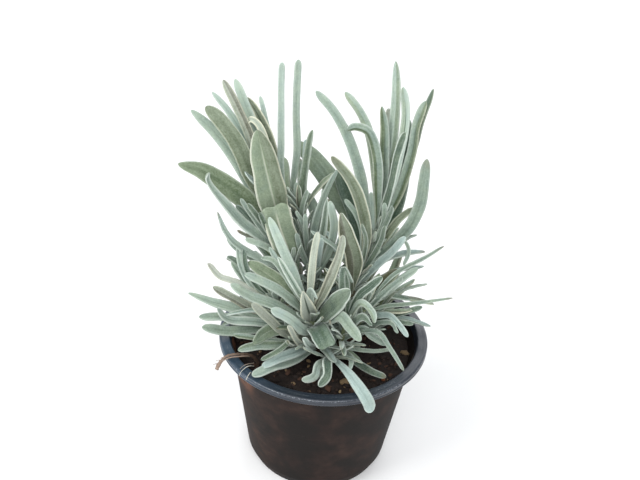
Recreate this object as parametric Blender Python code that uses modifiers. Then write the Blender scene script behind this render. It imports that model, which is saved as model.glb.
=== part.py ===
"""Young English lavender in a small round nursery pot.

Lengths are in millimetres until a mesh is made, +Z is up and the origin is the middle of the pot's base.
The front of the plant looks along -Y.
"""

import math
import random
from typing import NamedTuple

import bmesh
import bpy
from mathutils import Matrix, Vector, noise
from mathutils.bvhtree import BVHTree

MM = 0.001
NAME = "potted_english_lavender"
FIT_GAP = 0.3

# Pot
RIM_RADIUS = 55.0
RIM_INNER_RADIUS = 49.8
RIM_DEPTH = 3.4
RIM_ROUND = 1.5
LIP_ROUND = 0.9
POT_HEIGHT = 78.0
NECK_RADIUS = 48.8
NECK_FLARE = 4.0
CHAMFER_RADIUS = 38.8
CHAMFER_HEIGHT = 6.0
BASE_RADIUS = 36.0
WALL = 1.5
FLOOR = 1.8
POT_STEPS = 40
DRAIN_HOLES = 4
DRAIN_CIRCLE_RADIUS = 22.0
DRAIN_RADIUS = 3.5

# Soil
SOIL_LEVEL = 68.5
SOIL_RELIEF = 1.1
SOIL_RINGS = 5
SOIL_STEPS = 24
CRUMBS = 16
HOLE_DEPTH = 6.5
HOLE_TOP = 3.0
HOLE_GAP = 0.4
HOLE_SIDES = 8

# Stems
STEM_FOOT = 62.8
STEM_RADIUS = 1.7
STEM_TIP_RADIUS = 1.1
STEM_BENDS = 6

# The dead stalk: its foot, then the points of its way over the rim
DRY_RADIUS = 0.9
DRY_STALK = ((-33.0, -21.0), (-33.0, -21.0, 71.0), (-36.0, -23.5, 77.0), (-42.0, -26.5, 79.8),
             (-47.5, -28.5, 79.8), (-50.8, -30.0, 77.0), (-52.5, -31.0, 73.0))

# Leaves
BLADE_THICKNESS = 1.1
STATIONS = (0.0, 0.2, 0.44, 0.68, 0.89, 1.0)
WIDE_STATIONS = (0.0, 0.2, 0.44, 0.68, 0.86, 0.96, 1.0)
SMALL_STATIONS = (0.0, 0.3, 0.62, 0.88, 1.0)
SMALL_LEAF = 32.0
WIDE_LEAF = 7.0
ROUTE_STEPS = 41
CURVE_STEPS = 12
WIDEST_AT = 0.62
BLUNT_FROM = 0.7
BLUNT_POWER = 2.3
THIN_FROM = 0.8
THIN_SHARE = 0.85
RIDGE_SHARE = 0.4

# How a leaf is kept clear of the ones before it: the gap, the share of it that may touch its own shoot,
# then the pushes that are tried, along the line of sight and aside, and the shorter lengths
CLEARANCE = 0.45
ROOT_SHARE = 0.26
PUSH = 2.5
PUSH_STEPS = 8
ASIDES = (0.0, 2.0, -2.0, 5.0, -5.0)
SHORT_SCALES = (0.85, 0.7, 0.55)
SHORT_PUSH = 3.0
SHORT_STEPS = 9

# The view that the leaves were sighted from: a picture 640 wide and 480 high
EYE = Vector((-5.2, -349.9, 344.8))
EYE_PITCH = math.radians(31.1)
EYE_ROLL = math.radians(3.85)
PICTURE_FOCAL = 825.0
PICTURE_MIDDLE = (320.0, 240.0)


class Leaf(NamedTuple):
    """One blade: sighted points from its tip inwards, and its sizes."""

    way: tuple
    depth: float
    root: float
    width: float
    turn: float = 0.0
    fold: float = 12.0


class Shoot(NamedTuple):
    """One leafy stem: the points of its stem, and the leaves that the front view shows."""

    stem: tuple
    leaves: tuple


# A leaf's way is in picture points, tip first. Depth is its tip's Y, root its height on the stem. Turn is
# the angle from facing the eye, so that past 90 the underside shows, and fold lifts both halves.
SHOOTS = {
    "shoot_front": Shoot(
        ((-3, -7), (-3, -7, 72), (-5, -10, 84), (-9, -15, 105)),
        (
            Leaf(((269, 217), (281, 245), (293, 272)), -2, 100, 6.2, 0, 10),
            Leaf(((269, 247), (280, 265), (292, 285)), 2, 97, 3.2, 10, 20),
            Leaf(((278, 257), (291, 280)), -14, 99, 4.6, 10, 40),
            Leaf(((318, 232), (313, 260)), -10, 102, 4.6, 0, 15),
            Leaf(((344, 235), (337, 262), (324, 292)), -16, 96, 5.4, 160, 10),
            Leaf(((303, 291), (306, 303)), -26, 93, 5.4, 0, 40),
            Leaf(((318, 299), (312, 291)), -23, 102, 3.8, 0, 10),
            Leaf(((352, 290), (338, 302)), -26, 88, 9.6, -25, 22),
            Leaf(((245, 274), (265, 283), (284, 294)), -22, 94, 4.2, 30, 12),
            Leaf(((231, 284), (250, 296), (275, 305)), -16, 90, 5.6, 20, 12),
            Leaf(((248, 262), (268, 274), (286, 289)), -2, 92, 7.0, 160, 10),
            Leaf(((271, 309), (290, 319), (303, 330)), -36, 84, 5.6, 10, 14),
            Leaf(((253, 304), (270, 320), (287, 334)), -30, 79, 4.8, 165, 14),
            Leaf(((329, 349), (318, 330)), -37, 89, 9.6, -10, 10),
            Leaf(((361, 341), (350, 327), (338, 316)), -36, 85, 6.2, -10, 10),
            Leaf(((263, 260), (277, 264)), -4, 98, 3.2, 0, 20),
            Leaf(((288, 326), (299, 343)), -33, 72, 3.8, 0, 20),
            Leaf(((303, 338), (309, 346)), -36, 73, 4.8, 0, 20),
            Leaf(((252, 376), (272, 367), (291, 361)), -41, 72, 5.2, 20, 14),
            Leaf(((262, 367), (280, 358), (297, 352)), -36, 76, 4.2, 20, 14),
        ),
    ),
    "shoot_rim": Shoot(
        ((3, -17), (3, -17, 72), (4, -21, 80)),
        (
            Leaf(((372, 412), (366, 398), (349, 374)), -60, 78, 6.8, 0, 8),
            Leaf(((301, 381), (314, 377), (318, 366)), -41, 75, 4.4, 0, 14),
            Leaf(((318, 387), (327, 376), (327, 362)), -45, 77, 5.0, 0, 14),
        ),
    ),
    "shoot_front_right": Shoot(
        ((8, -9), (8, -9, 72), (9, -13, 82), (11, -17, 97)),
        (
            Leaf(((382, 277), (370, 287), (358, 298)), -16, 94, 5.6, 165, 10),
            Leaf(((375, 323), (372, 311), (360, 303)), -30, 95, 4.4, 0, 14),
            Leaf(((372, 325), (362, 317)), -36, 90, 4.2, 0, 14),
            Leaf(((404, 371), (391, 350), (375, 331)), -30, 86, 3.9, 0, 14),
            Leaf(((386, 345), (372, 336), (362, 329)), -24, 82, 4.6, 0, 12),
            Leaf(((386, 377), (367, 369)), -36, 73, 4.4, 0, 14),
            Leaf(((393, 349), (372, 351)), -14, 76, 2.8, 0, 20),
            Leaf(((351, 369), (351, 358)), -36, 74, 3.4, 0, 20),
            Leaf(((340, 268), (346, 285)), -10, 95, 4.0, 20, 20),
            Leaf(((353, 283), (345, 267), (342, 281)), -20, 92, 3.6, 0, 20),
        ),
    ),
    "shoot_low_right": Shoot(
        ((14, -1), (14, -1, 72), (18, -2, 86), (21, -3, 100)),
        (
            Leaf(((444, 246), (425, 258), (403, 269), (388, 280)), 6, 97, 3.8, -20, 30),
            Leaf(((453, 298), (425, 302), (400, 305), (386, 306)), 0, 93, 3.8, -10, 20),
            Leaf(((423, 307), (402, 313), (382, 319)), -10, 87, 4.0, -10, 16),
            Leaf(((411, 299), (392, 295), (380, 297)), 14, 94, 4.2, 150, 16),
            Leaf(((406, 277), (396, 283), (382, 295)), -8, 92, 4.4, -20, 20),
            Leaf(((399, 270), (386, 280), (374, 292)), 3, 96, 6.6, -10, 10),
            Leaf(((408, 337), (397, 322), (386, 315)), -22, 89, 3.8, 0, 10),
            Leaf(((414, 324), (399, 322), (384, 320)), -14, 84, 2.9, 0, 16),
            Leaf(((398, 333), (388, 322)), -20, 82, 2.8, 0, 20),
            Leaf(((418, 268), (403, 278), (386, 292)), 9, 98, 5.4, -15, 14),
        ),
    ),
    "shoot_low_left": Shoot(
        ((-13, -1), (-13, -1, 72), (-19, -3, 84), (-26, -4, 98)),
        (
            Leaf(((227, 256), (240, 265), (258, 283)), 16, 96, 4.4, 30, 16),
            Leaf(((231, 262), (243, 278), (257, 293)), 8, 94, 4.0, 20, 16),
            Leaf(((238, 243), (241, 266), (254, 288)), 6, 97, 2.8, 0, 25),
            Leaf(((243, 249), (247, 270), (260, 290)), 0, 98, 2.8, 0, 25),
            Leaf(((208, 263), (219, 276), (232, 281), (252, 291)), 4, 92, 4.0, 20, 14),
            Leaf(((230, 279), (246, 287), (262, 298)), 2, 90, 4.4, 160, 12),
            Leaf(((213, 287), (235, 299), (254, 309)), -4, 87, 5.6, 150, 12),
            Leaf(((188, 293), (212, 302), (237, 309), (258, 316)), -4, 84, 4.8, 20, 14),
            Leaf(((216, 309), (229, 320), (256, 322)), -18, 80, 5.0, 20, 18),
            Leaf(((199, 317), (222, 317), (250, 320)), -10, 82, 5.4, 30, 12),
            Leaf(((202, 327), (230, 331), (262, 328)), -16, 77, 6.0, 20, 12),
            Leaf(((253, 343), (266, 333), (280, 328)), -36, 79, 6.6, 0, 8),
        ),
    ),
    "shoot_front_left": Shoot(
        ((-11, -11), (-11, -11, 72), (-15, -15, 82)),
        (
            Leaf(((238, 350), (256, 346), (276, 345)), -30, 80, 4.8, 20, 14),
            Leaf(((233, 335), (254, 338), (272, 341)), -24, 81, 3.2, 20, 20),
            Leaf(((261, 360), (278, 351), (288, 343)), -34, 81, 2.9, 0, 20),
        ),
    ),
    "shoot_left": Shoot(
        ((-9, 8), (-9, 8, 72), (-13, 9, 92), (-22, 11, 122), (-30, 13, 148)),
        (
            Leaf(((257, 130), (264, 162), (272, 195), (280, 224)), 4, 122, 14.5, 5, 7),
            Leaf(((273, 203), (280, 228), (288, 250)), -4, 106, 13.0, 10, 12),
            Leaf(((178, 164), (200, 170), (222, 183), (246, 201)), 8, 128, 9.6, 165, 8),
            Leaf(((196, 166), (212, 189), (227, 206), (243, 223), (265, 240)), -6, 116, 4.8, 20, 20),
            Leaf(((191, 110), (215, 133), (236, 160), (256, 194)), 24, 138, 5.0, 20, 12),
            Leaf(((206, 106), (222, 122), (239, 146), (256, 186)), 16, 139, 7.6, 165, 8),
            Leaf(((212, 92), (228, 111), (243, 136), (258, 175)), 30, 141, 3.4, 15, 15),
            Leaf(((223, 80), (236, 105), (250, 137), (262, 172)), 20, 143, 4.4, 165, 15),
            Leaf(((235, 79), (243, 99), (256, 133), (266, 168)), 28, 144, 4.4, 0, 15),
            Leaf(((246, 97), (256, 112), (269, 140), (275, 170)), 34, 145, 4.2, 15, 40),
            Leaf(((260, 96), (264, 112), (271, 145), (276, 172)), 40, 146, 3.0, 0, 15),
            Leaf(((248, 126), (252, 119), (262, 131), (270, 165)), 20, 142, 5.4, 0, 14),
            Leaf(((217, 212), (223, 228), (234, 243), (254, 256)), -9, 104, 5.0, 30, 25),
            Leaf(((240, 198), (253, 217), (268, 236)), 2, 120, 3.2, 0, 25),
            Leaf(((247, 203), (262, 222), (274, 236)), -2, 119, 3.4, 0, 25),
            Leaf(((236, 205), (250, 219), (268, 237)), 6, 114, 4.0, 150, 16),
            Leaf(((227, 238), (243, 252), (262, 262)), -2, 103, 4.8, 20, 16),
            Leaf(((259, 212), (270, 234)), -8, 113, 3.2, 0, 20),
            Leaf(((237, 231), (258, 241), (274, 250)), 3, 111, 2.4, 150, 20),
            Leaf(((245, 239), (265, 246), (278, 255)), -10, 107, 3.8, 20, 16),
        ),
    ),
    "shoot_middle": Shoot(
        ((-3, 15), (-3, 15, 72), (-6, 17, 92), (-13, 20, 118), (-18, 22, 144)),
        (
            Leaf(((282, 61), (281, 100), (281, 140), (281, 170), (287, 200)), 20, 136, 3.0, 0, 15),
            Leaf(((298, 59), (296, 110), (297, 150), (293, 185), (293, 208)), 26, 132, 3.5, 10, 15),
            Leaf(((313, 130), (309, 150), (305, 180), (302, 210)), 18, 126, 3.6, -35, 40),
            Leaf(((306, 139), (305, 160), (302, 190)), 26, 130, 3.0, 0, 15),
            Leaf(((337, 169), (324, 195), (314, 228)), 12, 106, 4.6, 25, 20),
            Leaf(((327, 200), (324, 226), (318, 256)), 4, 96, 7.6, 0, 28),
            Leaf(((296, 182), (296, 200), (300, 222)), 18, 122, 2.8, 0, 25),
            Leaf(((308, 190), (302, 212)), 12, 118, 3.2, -30, 25),
            Leaf(((296, 211), (303, 225)), 8, 112, 2.6, 0, 25),
            Leaf(((318, 208), (312, 230)), 24, 108, 4.6, 150, 14),
            Leaf(((305, 214), (306, 236)), 6, 105, 3.2, 0, 25),
            Leaf(((304, 191), (313, 207), (318, 230)), 28, 104, 7.0, 150, 14),
            Leaf(((330, 202), (334, 226), (328, 252)), 2, 97, 4.6, 20, 16),
            Leaf(((296, 232), (301, 250)), 2, 100, 3.2, 0, 20),
            Leaf(((322, 238), (319, 258)), -2, 95, 3.0, 0, 20),
            Leaf(((290, 190), (295, 214)), 26, 116, 3.0, 0, 20),
            Leaf(((336, 252), (328, 233), (317, 236)), 2, 104, 2.6, 0, 20),
        ),
    ),
    "shoot_right": Shoot(
        ((9, 8), (9, 8, 72), (12, 8, 92), (19, 9, 116), (24, 11, 140)),
        (
            Leaf(((316, 91), (334, 112), (350, 142), (361, 178), (367, 210)), 22, 129, 5.4, 0, 10),
            Leaf(((345, 92), (360, 112), (370, 137), (376, 180)), 28, 136, 4.4, 0, 12),
            Leaf(((347, 130), (357, 127), (370, 134), (377, 160), (378, 192)), 14, 137, 4.8, 160, 14),
            Leaf(((382, 106), (385, 130), (384, 165), (382, 195)), 16, 138, 5.0, 0, 40),
            Leaf(((396, 61), (396, 95), (394, 125), (389, 165)), 22, 139, 4.0, 165, 14),
            Leaf(((404, 86), (406, 118), (400, 155), (391, 190)), 10, 136, 4.4, -15, 30),
            Leaf(((408, 118), (406, 148), (397, 182)), 26, 134, 4.2, 150, 14),
            Leaf(((434, 89), (430, 101), (422, 121), (414, 150), (402, 185)), 22, 133, 3.4, -30, 35),
            Leaf(((426, 101), (417, 125), (413, 150), (405, 177), (395, 202)), 8, 131, 5.2, -15, 35),
            Leaf(((427, 159), (424, 180), (420, 204), (410, 226), (394, 242)), -4, 116, 6.4, 10, 10),
            Leaf(((331, 158), (350, 180), (361, 207), (366, 238)), -6, 110, 6.4, 155, 25),
            Leaf(((345, 199), (357, 216), (363, 238)), 2, 108, 3.2, 0, 16),
            Leaf(((362, 224), (366, 244)), -10, 103, 3.4, 0, 40),
            Leaf(((341, 214), (347, 236), (354, 262)), -13, 97, 8.4, 170, 12),
            Leaf(((385, 203), (383, 225)), -4, 117, 3.4, 0, 20),
            Leaf(((413, 208), (398, 220), (386, 236)), 6, 114, 4.2, 160, 14),
            Leaf(((405, 237), (392, 252), (378, 264)), -4, 102, 4.2, -10, 14),
            Leaf(((404, 265), (409, 251), (403, 240), (388, 247)), 6, 107, 2.6, 60, 14),
            Leaf(((389, 108), (391, 145), (387, 185)), 30, 139, 3.8, 160, 14),
            Leaf(((404, 133), (396, 160), (388, 195)), -2, 128, 4.6, 150, 14),
            Leaf(((407, 162), (402, 190), (393, 217)), 24, 122, 6.0, 0, 12),
            Leaf(((371, 192), (372, 215)), 26, 127, 3.4, 0, 14),
            Leaf(((393, 206), (386, 222)), -10, 113, 3.2, 150, 20),
            Leaf(((385, 226), (379, 245)), -13, 106, 3.0, 0, 20),
        ),
    ),
    "shoot_back_right": Shoot(
        ((15, 21), (15, 21, 72), (20, 26, 88), (25, 31, 106)),
        (
            Leaf(((294, 141), (310, 155), (323, 171), (338, 193), (353, 215)), 36, 103, 12.5, 0, 8),
            Leaf(((338, 168), (346, 192), (354, 214)), 28, 99, 8.0, 0, 10),
        ),
    ),
    "shoot_back_left": Shoot(((-15, 21), (-15, 21, 72), (-21, 26, 88), (-26, 31, 106)), ()),
    "shoot_back": Shoot(((0, 27), (0, 27, 72), (0, 33, 86), (-2, 38, 104)), ()),
    "shoot_side_left": Shoot(((-25, 9), (-25, 9, 72), (-29, 13, 82), (-32, 18, 92)), ()),
    "shoot_side_right": Shoot(((24, 10), (24, 10, 72), (29, 14, 82), (32, 19, 92)), ()),
}


class Whorls(NamedTuple):
    """Leaf pairs that a shoot bears by rule, from the lowest up, on the side that they face."""

    shoot: str
    pairs: int
    first: float
    last: float
    length: float
    width: float
    facing: float
    spread: float


# Leaves that the front view hides: opposite pairs, each turned a right angle from the one below
WHORLS = (
    Whorls("shoot_left", 4, 98, 138, 42, 5.2, 100, 170),
    Whorls("shoot_left", 3, 78, 92, 28, 4.2, 180, 360),
    Whorls("shoot_middle", 4, 96, 134, 40, 5.2, 90, 170),
    Whorls("shoot_middle", 5, 78, 112, 28, 4.2, 300, 360),
    Whorls("shoot_right", 4, 98, 131, 42, 5.2, 85, 170),
    Whorls("shoot_right", 3, 78, 92, 28, 4.2, 0, 360),
    Whorls("shoot_front", 4, 76, 100, 23, 4.0, 110, 360),
    Whorls("shoot_low_left", 3, 76, 94, 30, 4.6, 120, 240),
    Whorls("shoot_low_right", 3, 76, 96, 30, 4.6, 60, 240),
    Whorls("shoot_front_left", 2, 74, 81, 20, 3.8, 200, 360),
    Whorls("shoot_front_right", 3, 76, 94, 20, 3.8, 320, 360),
    Whorls("shoot_rim", 2, 73, 79, 18, 3.8, 250, 360),
    Whorls("shoot_back_right", 7, 74, 105, 44, 5.8, 60, 360),
    Whorls("shoot_back_left", 7, 74, 105, 44, 5.8, 120, 360),
    Whorls("shoot_back", 7, 74, 103, 44, 5.8, 90, 360),
    Whorls("shoot_side_left", 5, 74, 91, 32, 5.2, 135, 200),
    Whorls("shoot_side_right", 5, 74, 91, 32, 5.2, 45, 200),
)
SEED = 41

LEAF_COLOUR = (0.36, 0.43, 0.35)
POT_COLOUR = (0.022, 0.022, 0.026)
SOIL_COLOUR = (0.022, 0.016, 0.012)
DRY_COLOUR = (0.16, 0.10, 0.07)


def sighted(point, depth):
    """The place on the line of sight through a picture point, at a depth."""
    ahead = Vector((0, math.cos(EYE_PITCH), -math.sin(EYE_PITCH)))
    level = Vector((1, 0, 0))
    above = level.cross(ahead)
    right = math.cos(EYE_ROLL) * level + math.sin(EYE_ROLL) * above
    top = math.cos(EYE_ROLL) * above - math.sin(EYE_ROLL) * level
    across = (point[0] - PICTURE_MIDDLE[0]) / PICTURE_FOCAL
    up = (PICTURE_MIDDLE[1] - point[1]) / PICTURE_FOCAL
    ray = ahead + across * right + up * top
    return EYE + ray * ((depth - EYE.y) / ray.y)


def smooth_route(points, count):
    """Evenly spaced points on a smooth curve through the given ones."""
    ends = [2 * points[0] - points[1]] + list(points) + [2 * points[-1] - points[-2]]
    fine = [points[0].copy()]
    for before, start, end, after in zip(ends, ends[1:], ends[2:], ends[3:]):
        for step in range(1, CURVE_STEPS + 1):
            t = step / CURVE_STEPS
            bend = 2 * start + (end - before) * t
            bend += (2 * before - 5 * start + 4 * end - after) * t ** 2
            bend += (3 * start - before - 3 * end + after) * t ** 3
            fine.append(bend / 2)
    lengths = [0.0]
    for a, b in zip(fine, fine[1:]):
        lengths.append(lengths[-1] + (b - a).length)
    even = []
    index = 0
    for step in range(count):
        wanted = lengths[-1] * step / (count - 1)
        while index < len(fine) - 2 and lengths[index + 1] < wanted:
            index += 1
        share = (wanted - lengths[index]) / max(lengths[index + 1] - lengths[index], 1e-9)
        even.append(fine[index].lerp(fine[index + 1], min(share, 1.0)))
    return even


def stem_points(shoot):
    """The points of a shoot's stem, from its foot up: straight in the soil, then bending."""
    foot = Vector((*shoot.stem[0], STEM_FOOT))
    bend = [Vector(point) for point in shoot.stem[1:]]
    return [foot] + smooth_route(bend, STEM_BENDS)


def stem_place(shoot, height):
    """The place on a shoot's stem at a height, and the way that the stem grows there."""
    points = stem_points(shoot)
    for low, high in zip(points, points[1:]):
        if high.z >= height:
            share = (height - low.z) / (high.z - low.z)
            return low.lerp(high, share), (high - low).normalized()
    return points[-1], (points[-1] - points[-2]).normalized()


class Blade(NamedTuple):
    """A leaf laid out in space: its points from root to tip, the side its face looks to, and its sizes."""

    points: list
    face: Vector
    width: float
    fold: float


def laid_out(shoot, leaf):
    """The blade of a sighted leaf."""
    root, _ = stem_place(shoot, leaf.root)
    reach = len(leaf.way)
    points = [root]
    for index, point in enumerate(reversed(leaf.way), start=1):
        share = (index + 0.6) / (reach + 0.6)
        points.append(sighted(point, root.y + (leaf.depth - root.y) * share))
    middle = points[reach // 2 + 1] if reach > 1 else points[-1]
    axis = (points[-1] - root).normalized()
    look = EYE - middle
    face = (look - axis * look.dot(axis)).normalized()
    face = Matrix.Rotation(math.radians(leaf.turn), 3, axis) @ face
    return Blade(points, face, leaf.width, math.radians(leaf.fold))


def half_width(share, width):
    """Half the blade's width at a share of its length: a narrow foot, widest past the middle, blunt."""
    foot = min(0.42 * width, 1.3 + 0.1 * width)
    grown = min(share / WIDEST_AT, 1.0)
    body = foot + (width - foot) * grown * grown * (3 - 2 * grown)
    if share > BLUNT_FROM:
        past = (share - BLUNT_FROM) / (1 - BLUNT_FROM)
        body *= math.sqrt(max(1 - past ** BLUNT_POWER, 0.0))
    return body / 2


def blade_mesh(blade, stations, swell=0.0, start=0.0):
    """Vertices and triangles of a blade: a shallow channel with thin edges and a pointed end."""
    count = ROUTE_STEPS
    route = smooth_route(blade.points, count)
    tangents = []
    for index in range(count):
        ahead = route[min(index + 1, count - 1)]
        behind = route[max(index - 1, 0)]
        tangents.append((ahead - behind).normalized())
    middle = count // 2
    normals = [None] * count
    face = blade.face - tangents[middle] * blade.face.dot(tangents[middle])
    normals[middle] = face.normalized()
    for index in range(middle + 1, count):
        turn = tangents[index - 1].rotation_difference(tangents[index])
        normals[index] = turn @ normals[index - 1]
    for index in range(middle - 1, -1, -1):
        turn = tangents[index + 1].rotation_difference(tangents[index])
        normals[index] = turn @ normals[index + 1]
    vertices = []
    used = [share for share in stations if share >= start]
    for share in used[:-1]:
        index = round(share * (count - 1))
        side = normals[index].cross(tangents[index])
        half = half_width(share, blade.width) + swell
        thick = BLADE_THICKNESS * (1.0 if share < THIN_FROM else THIN_SHARE) + 2 * swell
        edge = math.cos(blade.fold) * half * side
        lift = math.sin(blade.fold) * half * normals[index]
        vertices.append(route[index] - edge + lift)
        vertices.append(route[index] + RIDGE_SHARE * thick * normals[index])
        vertices.append(route[index] + edge + lift)
        vertices.append(route[index] - (1 - RIDGE_SHARE) * thick * normals[index])
    vertices.append(route[-1] + swell * tangents[-1])
    faces = [(0, 1, 2), (0, 2, 3)]
    rings = len(used) - 1
    for ring in range(rings - 1):
        low = 4 * ring
        high = low + 4
        for edge, middle_vertex in ((0, 1), (2, 1), (0, 3), (2, 3)):
            first = (low + edge, high + edge, high + middle_vertex)
            second = (low + edge, high + middle_vertex, low + middle_vertex)
            if (edge, middle_vertex) in ((2, 1), (0, 3)):
                first = first[::-1]
                second = second[::-1]
            faces.append(first)
            faces.append(second)
    last = 4 * (rings - 1)
    tip = 4 * rings
    for a, b in ((0, 1), (1, 2), (2, 3), (3, 0)):
        faces.append((last + b, last + a, tip))
    return vertices, faces


def stations_for(blade):
    """The stations of a blade: more on a wide one, fewer on a small one."""
    if blade.width > WIDE_LEAF:
        return WIDE_STATIONS
    length = sum((b - a).length for a, b in zip(blade.points, blade.points[1:]))
    return SMALL_STATIONS if length < SMALL_LEAF else STATIONS


def box_of(vertices):
    """The lowest and highest corner of some vertices."""
    low = Vector(min(v[axis] for v in vertices) for axis in range(3))
    high = Vector(max(v[axis] for v in vertices) for axis in range(3))
    return low, high


class Solid(NamedTuple):
    """Something already placed, that new leaves keep clear of."""

    owner: str
    tree: BVHTree
    low: Vector
    high: Vector


def solid_of(owner, vertices, faces):
    """A placed solid from its vertices and faces."""
    low, high = box_of(vertices)
    return Solid(owner, BVHTree.FromPolygons(vertices, faces), low, high)


def is_clear(blade, owner, placed):
    """Whether a blade keeps clear of what is placed, and past its root of its own shoot's leaves too."""
    stations = stations_for(blade)
    whole = solid_of(owner, *blade_mesh(blade, stations, swell=CLEARANCE))
    outer = solid_of(owner, *blade_mesh(blade, stations, start=ROOT_SHARE))
    for other in placed:
        mine = outer if other.owner == owner else whole
        if any(mine.high[i] < other.low[i] or mine.low[i] > other.high[i] for i in range(3)):
            continue
        if mine.tree.overlap(other.tree):
            return False
    return True


def swung(blade, along, aside, scale):
    """A blade turned about its root, with its tip pushed along the line of sight and aside."""
    root = blade.points[0]
    reach = (blade.points[-1] - root).length
    look = (blade.points[-1] - EYE).normalized()
    cross = look.cross(blade.points[-1] - root)
    cross = cross.normalized() if cross.length > 1e-6 else Vector((1, 0, 0))
    points = [root]
    for point in blade.points[1:]:
        share = (point - root).length / reach
        moved = root + (point - root) * scale
        points.append(moved + share * (along * look + aside * cross))
    return blade._replace(points=points)


def trials():
    """Pushes to try in turn: none, then along the sight line, then aside as well, then shorter."""
    yield 0.0, 0.0, 1.0
    for aside in ASIDES:
        for step in range(1, PUSH_STEPS + 1):
            yield PUSH * step, aside, 1.0
            yield -PUSH * step, aside, 1.0
    for scale in SHORT_SCALES:
        for step in range(SHORT_STEPS):
            yield SHORT_PUSH * step, 0.0, scale
            yield -SHORT_PUSH * step, SHORT_PUSH, scale


def whorl_blades(rule, draw):
    """The blades that a shoot bears by rule, long at mid height and steeper upwards."""
    shoot = SHOOTS[rule.shoot]
    for pair in range(rule.pairs):
        share = pair / max(rule.pairs - 1, 1)
        height = rule.first + (rule.last - rule.first) * share
        root, growth = stem_place(shoot, height)
        for side in (0, 180):
            bearing = rule.facing + 90 * pair + side + draw.uniform(-16, 16)
            off = (bearing - rule.facing + 180) % 360 - 180
            length = rule.length * (0.75 + 0.35 * math.sin(math.pi * share)) * draw.uniform(0.8, 1.15)
            rise = math.radians(12 + 52 * share + draw.uniform(-8, 8))
            width = rule.width * draw.uniform(0.8, 1.15)
            fold = math.radians(draw.uniform(8, 24))
            droop = draw.uniform(0.05, 0.2)
            if abs(off) > rule.spread / 2:
                continue
            out = Vector((math.cos(math.radians(bearing)), math.sin(math.radians(bearing)), 0))
            heading = (math.cos(rise) * out + math.sin(rise) * (growth + Vector((0, 0, 1))) / 2).normalized()
            tip = root + length * heading - Vector((0, 0, droop * length))
            middle = root + 0.5 * length * heading + 0.03 * length * Vector((0, 0, 1))
            face = Vector((0, 0, 1)) - 0.7 * out
            yield Blade([root, middle, tip], face, width, fold)


def place_leaves(obstacles):
    """Every shoot's blades, each turned clear of the ones before it."""
    placed = list(obstacles)
    result = {name: [] for name in SHOOTS}
    for name, shoot in SHOOTS.items():
        for leaf in shoot.leaves:
            settle(name, laid_out(shoot, leaf), placed, result)
    draw = random.Random(SEED)
    for rule in WHORLS:
        for blade in whorl_blades(rule, draw):
            settle(rule.shoot, blade, placed, result)
    return result


def settle(name, blade, placed, result):
    """Place a blade at the first trial that is clear, or leave it out."""
    for along, aside, scale in trials():
        moved = swung(blade, along, aside, scale)
        if is_clear(moved, name, placed):
            mesh = blade_mesh(moved, stations_for(moved))
            placed.append(solid_of(name, *mesh))
            result[name].append(moved)
            return


def material(name, colour, roughness):
    """A plain material."""
    made = bpy.data.materials.new(name)
    made.use_nodes = True
    shader = made.node_tree.nodes["Principled BSDF"]
    shader.inputs["Base Color"].default_value = (*colour, 1.0)
    shader.inputs["Roughness"].default_value = roughness
    shader.inputs["Metallic"].default_value = 0.0
    return made


def mesh_object(name, vertices, faces, collection):
    """An object from vertices in millimetres and faces."""
    mesh = bpy.data.meshes.new(name)
    mesh.from_pydata([MM * Vector(v) for v in vertices], [], faces)
    made = bpy.data.objects.new(name, mesh)
    collection.objects.link(made)
    return made


def turned(name, profile, steps, collection):
    """An object turned round the Z axis from a profile that runs down its outer side."""
    mesh = bpy.data.meshes.new(name)
    points = [(MM * radius, 0.0, MM * height) for radius, height in profile]
    mesh.from_pydata(points, [(i, i + 1) for i in range(len(points) - 1)], [])
    made = bpy.data.objects.new(name, mesh)
    collection.objects.link(made)
    screw = made.modifiers.new("turn", "SCREW")
    screw.steps = steps
    screw.render_steps = steps
    screw.use_merge_vertices = True
    screw.merge_threshold = 0.00001
    return made


def bake(made):
    """Replace an object's mesh by its evaluated one, with no modifiers left."""
    bpy.context.view_layer.update()
    evaluated = made.evaluated_get(bpy.context.evaluated_depsgraph_get())
    mesh = bpy.data.meshes.new_from_object(evaluated)
    mesh.name = made.name
    made.modifiers.clear()
    made.data = mesh
    return made


def boolean(made, operation, collection, solver="EXACT"):
    """Cut or join a collection's objects, then remove them."""
    modifier = made.modifiers.new(operation.lower(), "BOOLEAN")
    modifier.operation = operation
    modifier.operand_type = "COLLECTION"
    modifier.collection = collection
    modifier.solver = solver
    bake(made)
    for extra in list(collection.objects):
        bpy.data.objects.remove(extra, do_unlink=True)


def arc(middle, radius, start, end, steps):
    """Points of an arc in a profile, angles in degrees."""
    for step in range(steps + 1):
        angle = math.radians(start + (end - start) * step / steps)
        yield middle[0] + radius * math.cos(angle), middle[1] + radius * math.sin(angle)


def wall_radius(height):
    """The outer radius of the pot's wall at a height."""
    share = (height - CHAMFER_HEIGHT) / (POT_HEIGHT - RIM_DEPTH - CHAMFER_HEIGHT)
    return CHAMFER_RADIUS + (NECK_RADIUS - CHAMFER_RADIUS) * share


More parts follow.
